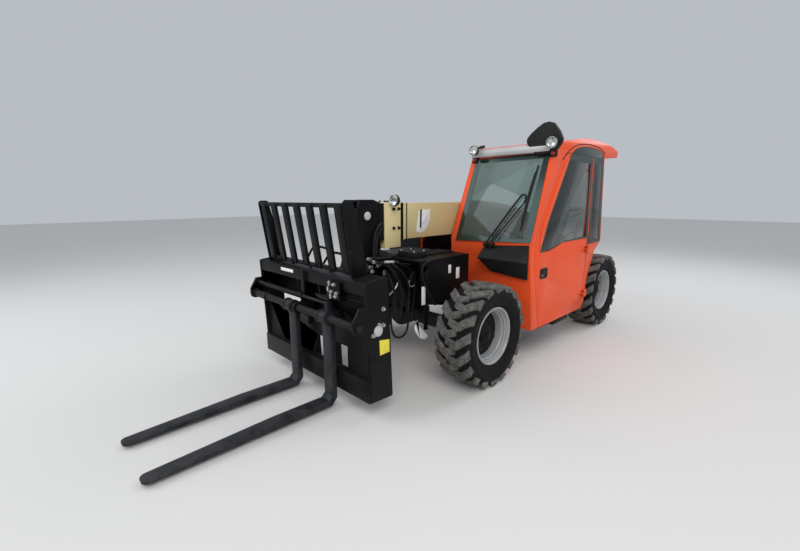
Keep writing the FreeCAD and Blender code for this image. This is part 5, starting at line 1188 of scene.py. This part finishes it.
for number, y in enumerate(valveYs):
    pipe("valveHose%d" % number, [(1.318, y, 0.818), (1.345, y, 0.815), (1.352, y - 0.03, 0.79),
                                  (1.345, y - 0.09, 0.792), (1.325, y - 0.14, 0.80)], 0.007, "carriage")
backrest = {"bars": 7, "first": -0.676, "pitch": 0.172, "half": 0.031,
            "line": [(1.248, 0.972), (1.270, 0.972), (1.338, 1.438), (1.316, 1.438)]}
bars = []
for number in range(backrest["bars"]):
    y = backrest["first"] + backrest["pitch"] * number - backrest["half"]
    bars.append(plate("bar%d" % number, side(y, backrest["line"]), (0, 2 * backrest["half"], 0), 0.004, 2))
dress(joined("backrestBars", bars), "carriage", "blackPaint")
heads = [(1.275, -0.606 + 0.26 * number, 0.965) for number in range(4)]
bolts("backrestBolts", heads, (0.12, 0, 1), 0.010, "carriage", "blackPaint")
addSlabs("carriage", {"valveBlock": ("blackPaint", (1.3182, 0.222, 0.800), (1.336, 0.345, 0.925), 0.004)})
portLine = [(0.0, -0.016), (0.010, -0.016), (0.010, -0.002), (0.0135, 0.0), (0.0135, 0.010), (0.009, 0.012),
            (0.009, 0.018), (0.0, 0.018)]
ports = front(1.345, [(0.246, 0.909), (0.298, 0.906), (0.277, 0.856), (0.261, 0.822), (0.316, 0.826),
                      (0.334, 0.852), (0.232, 0.868)])
turnedRow("valveUnions", portLine, ports, "zyx", 6, "carriage", "zinc")
print("carriage dressed")

# Front box: blank labels, deck block, hooks and the hoses that hang between the head and the box
noseFace = 0.3702
for name, low, high in (("A", (0.500, 0.622), (0.545, 0.775)), ("B", (0.172, 0.842), (0.207, 0.914)),
                        ("C", (0.052, 0.782), (0.100, 0.880))):
    label = plate("noseLabel" + name, side(noseFace, oblong(low, high)), (0, 0.0012, 0), 0.0003)
    dress(label, "chassis", "labelWhite")
for number in range(4):
    y = 0.06 + 0.045 * number
    route = [(0.50 - 0.05 * number, y, 0.998), (0.40, y, 1.000), (0.10, y + 0.01, 1.000), (-0.06, y, 0.998),
             (-0.13, y, 0.95), (-0.16, y - 0.02, 0.80)]
    pipe("deckHose%d" % number, route, 0.0095, "chassis")
heads = level(1.035, [(x, y) for x in (0.36, 0.48) for y in (0.07, 0.22)])
bolts("deckBolts", heads, (0, 0, 1), 0.008, "chassis")
flapLine = [(0.590, 0.505), (0.612, 0.492), (0.470, 0.352), (0.455, 0.338), (0.500, 0.322), (0.560, 0.345),
            (0.612, 0.405), (0.628, 0.450)]
towLine = [(0.5552, 0.80), (0.5552, 0.90), (0.60, 0.885), (0.622, 0.85), (0.60, 0.815)]
addPlates("chassis", {
    "nosePlate": ("labelWhite", side(0.372, flapLine), (0, -0.004, 0), 0.001),
    "towEyeLeft": ("blackPaint", side(0.30, towLine), (0, 0.018, 0), 0.003),
    "towEyeRight": ("blackPaint", side(-0.30, towLine), (0, 0.018, 0), 0.003),
})
linkRuns = {       # look, radius, how far left it hangs, route seen from the side
    "noseLoop": ("hoseBlack", 0.0095, None, [(0.47, 0.16, 0.62), (0.50, 0.17, 0.55), (0.47, 0.15, 0.36),
                                             (0.52, 0.12, 0.27), (0.60, 0.08, 0.30), (0.575, 0.03, 0.50),
                                             (0.50, 0.02, 0.62)]),
    "linkA": ("zinc", 0.008, 0.075, [(0.624, 0.672), (0.583, 0.695), (0.541, 0.728), (0.523, 0.765)]),
    "linkB": ("greyPlastic", 0.006, 0.090, [(0.453, 0.707), (0.428, 0.766), (0.390, 0.832), (0.340, 0.866)]),
    "linkC": ("castGrey", 0.008, 0.385, [(0.339, 0.986), (0.464, 0.987), (0.547, 0.956), (0.570, 0.903),
                                         (0.534, 0.809), (0.471, 0.707), (0.394, 0.600)]),
    "linkD": ("greyPlastic", 0.011, 0.100, [(0.694, 0.965), (0.581, 0.953), (0.475, 0.927), (0.413, 0.912)]),
    "linkE": ("hoseBlack", 0.01, 0.110, [(0.671, 0.931), (0.580, 0.843), (0.521, 0.739), (0.497, 0.611),
                                         (0.534, 0.457)]),
    "linkF": ("hoseBlack", 0.01, 0.120, [(0.635, 0.944), (0.495, 0.859), (0.421, 0.707), (0.446, 0.550),
                                         (0.495, 0.415)]),
    "linkG": ("hoseBlack", 0.01, 0.130, [(0.610, 0.959), (0.432, 0.904), (0.356, 0.788), (0.380, 0.594),
                                         (0.418, 0.437)]),
    "linkH": ("hoseBlack", 0.009, 0.090, [(0.675, 0.895), (0.619, 0.794), (0.562, 0.655), (0.587, 0.518)]),
    "linkI": ("greyPlastic", 0.005, 0.125, [(0.401, 0.790), (0.363, 0.762), (0.369, 0.722), (0.414, 0.716),
                                            (0.445, 0.747), (0.433, 0.785), (0.389, 0.783)]),
    "linkJ": ("hoseBlack", 0.01, 0.050, [(0.425, 1.017), (0.568, 0.988), (0.704, 0.986), (0.801, 1.004)]),
    "linkK": ("hoseBlack", 0.01, 0.070, [(0.268, 0.986), (0.432, 0.959), (0.587, 0.958), (0.744, 0.959)]),
}
headRuns = ("linkD", "linkJ", "linkK")
for name, (look, radius, y, route) in linkRuns.items():
    points = side(y, route) if y else route
    pipe(name, points, radius, "inner_boom" if name in headRuns else "chassis", look)
unionLine = [(0.0, -0.02), (0.013, -0.02), (0.013, -0.004), (0.0165, 0.0), (0.0165, 0.012), (0.011, 0.016),
             (0.011, 0.026), (0.0, 0.026)]
unions = side(0.050, [(0.822, 0.995), (0.780, 0.969), (0.732, 0.939), (0.694, 0.943), (0.649, 0.950),
                      (0.609, 0.929), (0.808, 0.928), (0.798, 0.894), (0.656, 0.862)])
turnedRow("headUnions", unionLine, unions, "xyz", 6, "inner_boom", "zinc")

# Back: tail lamps and a blank plate on the ballast
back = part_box("ballast")[0].x
shellLine = [(0.0, 0.0), (0.048, 0.0), (0.050, 0.008), (0.046, 0.020), (0.0, 0.020)]
lensLine = [(0.0, 0.0), (0.042, 0.0), (0.040, 0.010), (0.022, 0.016), (0.0, 0.017)]
for name, y in (("Left", 0.28), ("Right", -0.28)):
    addTurned("chassis", {
        "tailLamp" + name: ("blackPlastic", shellLine, (back + 0.0005, y, 0.80), "x", 36, -1),
        "tailLens" + name: ("redLens", lensLine, (back - 0.018, y, 0.80), "x", 36, -1),
    })
addSlabs("chassis", {      # look, low and high corner, edge
    "rearPlate": ("labelWhite", (back - 0.004, -0.16, 0.62), (back, 0.16, 0.73), 0.0015),
    "deckBlock": ("castGrey", (0.34, 0.05, 0.9855), (0.50, 0.24, 1.035), 0.004),
    "nosePlateArm": ("blackPaint", (0.46, 0.352, 0.40), (0.50, 0.368, 0.62)),
    "cabStep": ("blackPaint", (-1.16, 0.74, 0.255), (-0.82, 0.86, 0.285), 0.004),
    "stepHanger0": ("blackPaint", (-1.13, 0.77, 0.284), (-1.11, 0.81, 0.42)),
    "stepHanger1": ("blackPaint", (-0.87, 0.77, 0.284), (-0.85, 0.81, 0.42)),
})

# Hood: exhaust stub, black panels over its front, latch, grips, louvre backing
exhaustLine = [(0.026, 0.0), (0.031, 0.0), (0.031, 0.046), (0.034, 0.048), (0.034, 0.058), (0.026, 0.058)]
flangeLine = [(0.031, 0.0), (0.058, 0.0), (0.058, 0.006), (0.036, 0.010), (0.031, 0.020)]
addTurned("hood", {"exhaust": ("castGrey", exhaustLine, (-1.38, -0.50, 1.075), "z", 32),
                   "exhaustFlange": ("castGrey", flangeLine, (-1.38, -0.50, 1.0795), "z", 32)})
addSlabs("hood", {
    # Black panels over the hood's front face and the front strip of its top
    "hoodFrontBlackPanel": ("blackPaint", (-0.2695, -0.874, 0.445), (-0.262, -0.392, 1.074)),
    "hoodTopBlackStrip": ("blackPaint", (-0.72, -0.56, 1.0803), (-0.265, -0.392, 1.0845), 0.002),
    "hoodLatch": ("blackPlastic", (-0.92, -0.8875, 0.47), (-0.86, -0.8805, 0.53)),
    "louvreBacking": ("blackPlastic", (-1.37, -0.8465, 0.53), (-0.89, -0.8445, 0.88), 0),
})
for number, x in enumerate((-1.10, -0.68)):
    ends = x + 0.12
    grip = level(0.60, [(x, -0.8805), (x, -0.896), (x + 0.06, -0.898), (ends, -0.896), (ends, -0.8805)])
    pipe("hoodGrip%d" % number, grip, 0.006, "hood", "blackPlastic")
print("frame dressed")
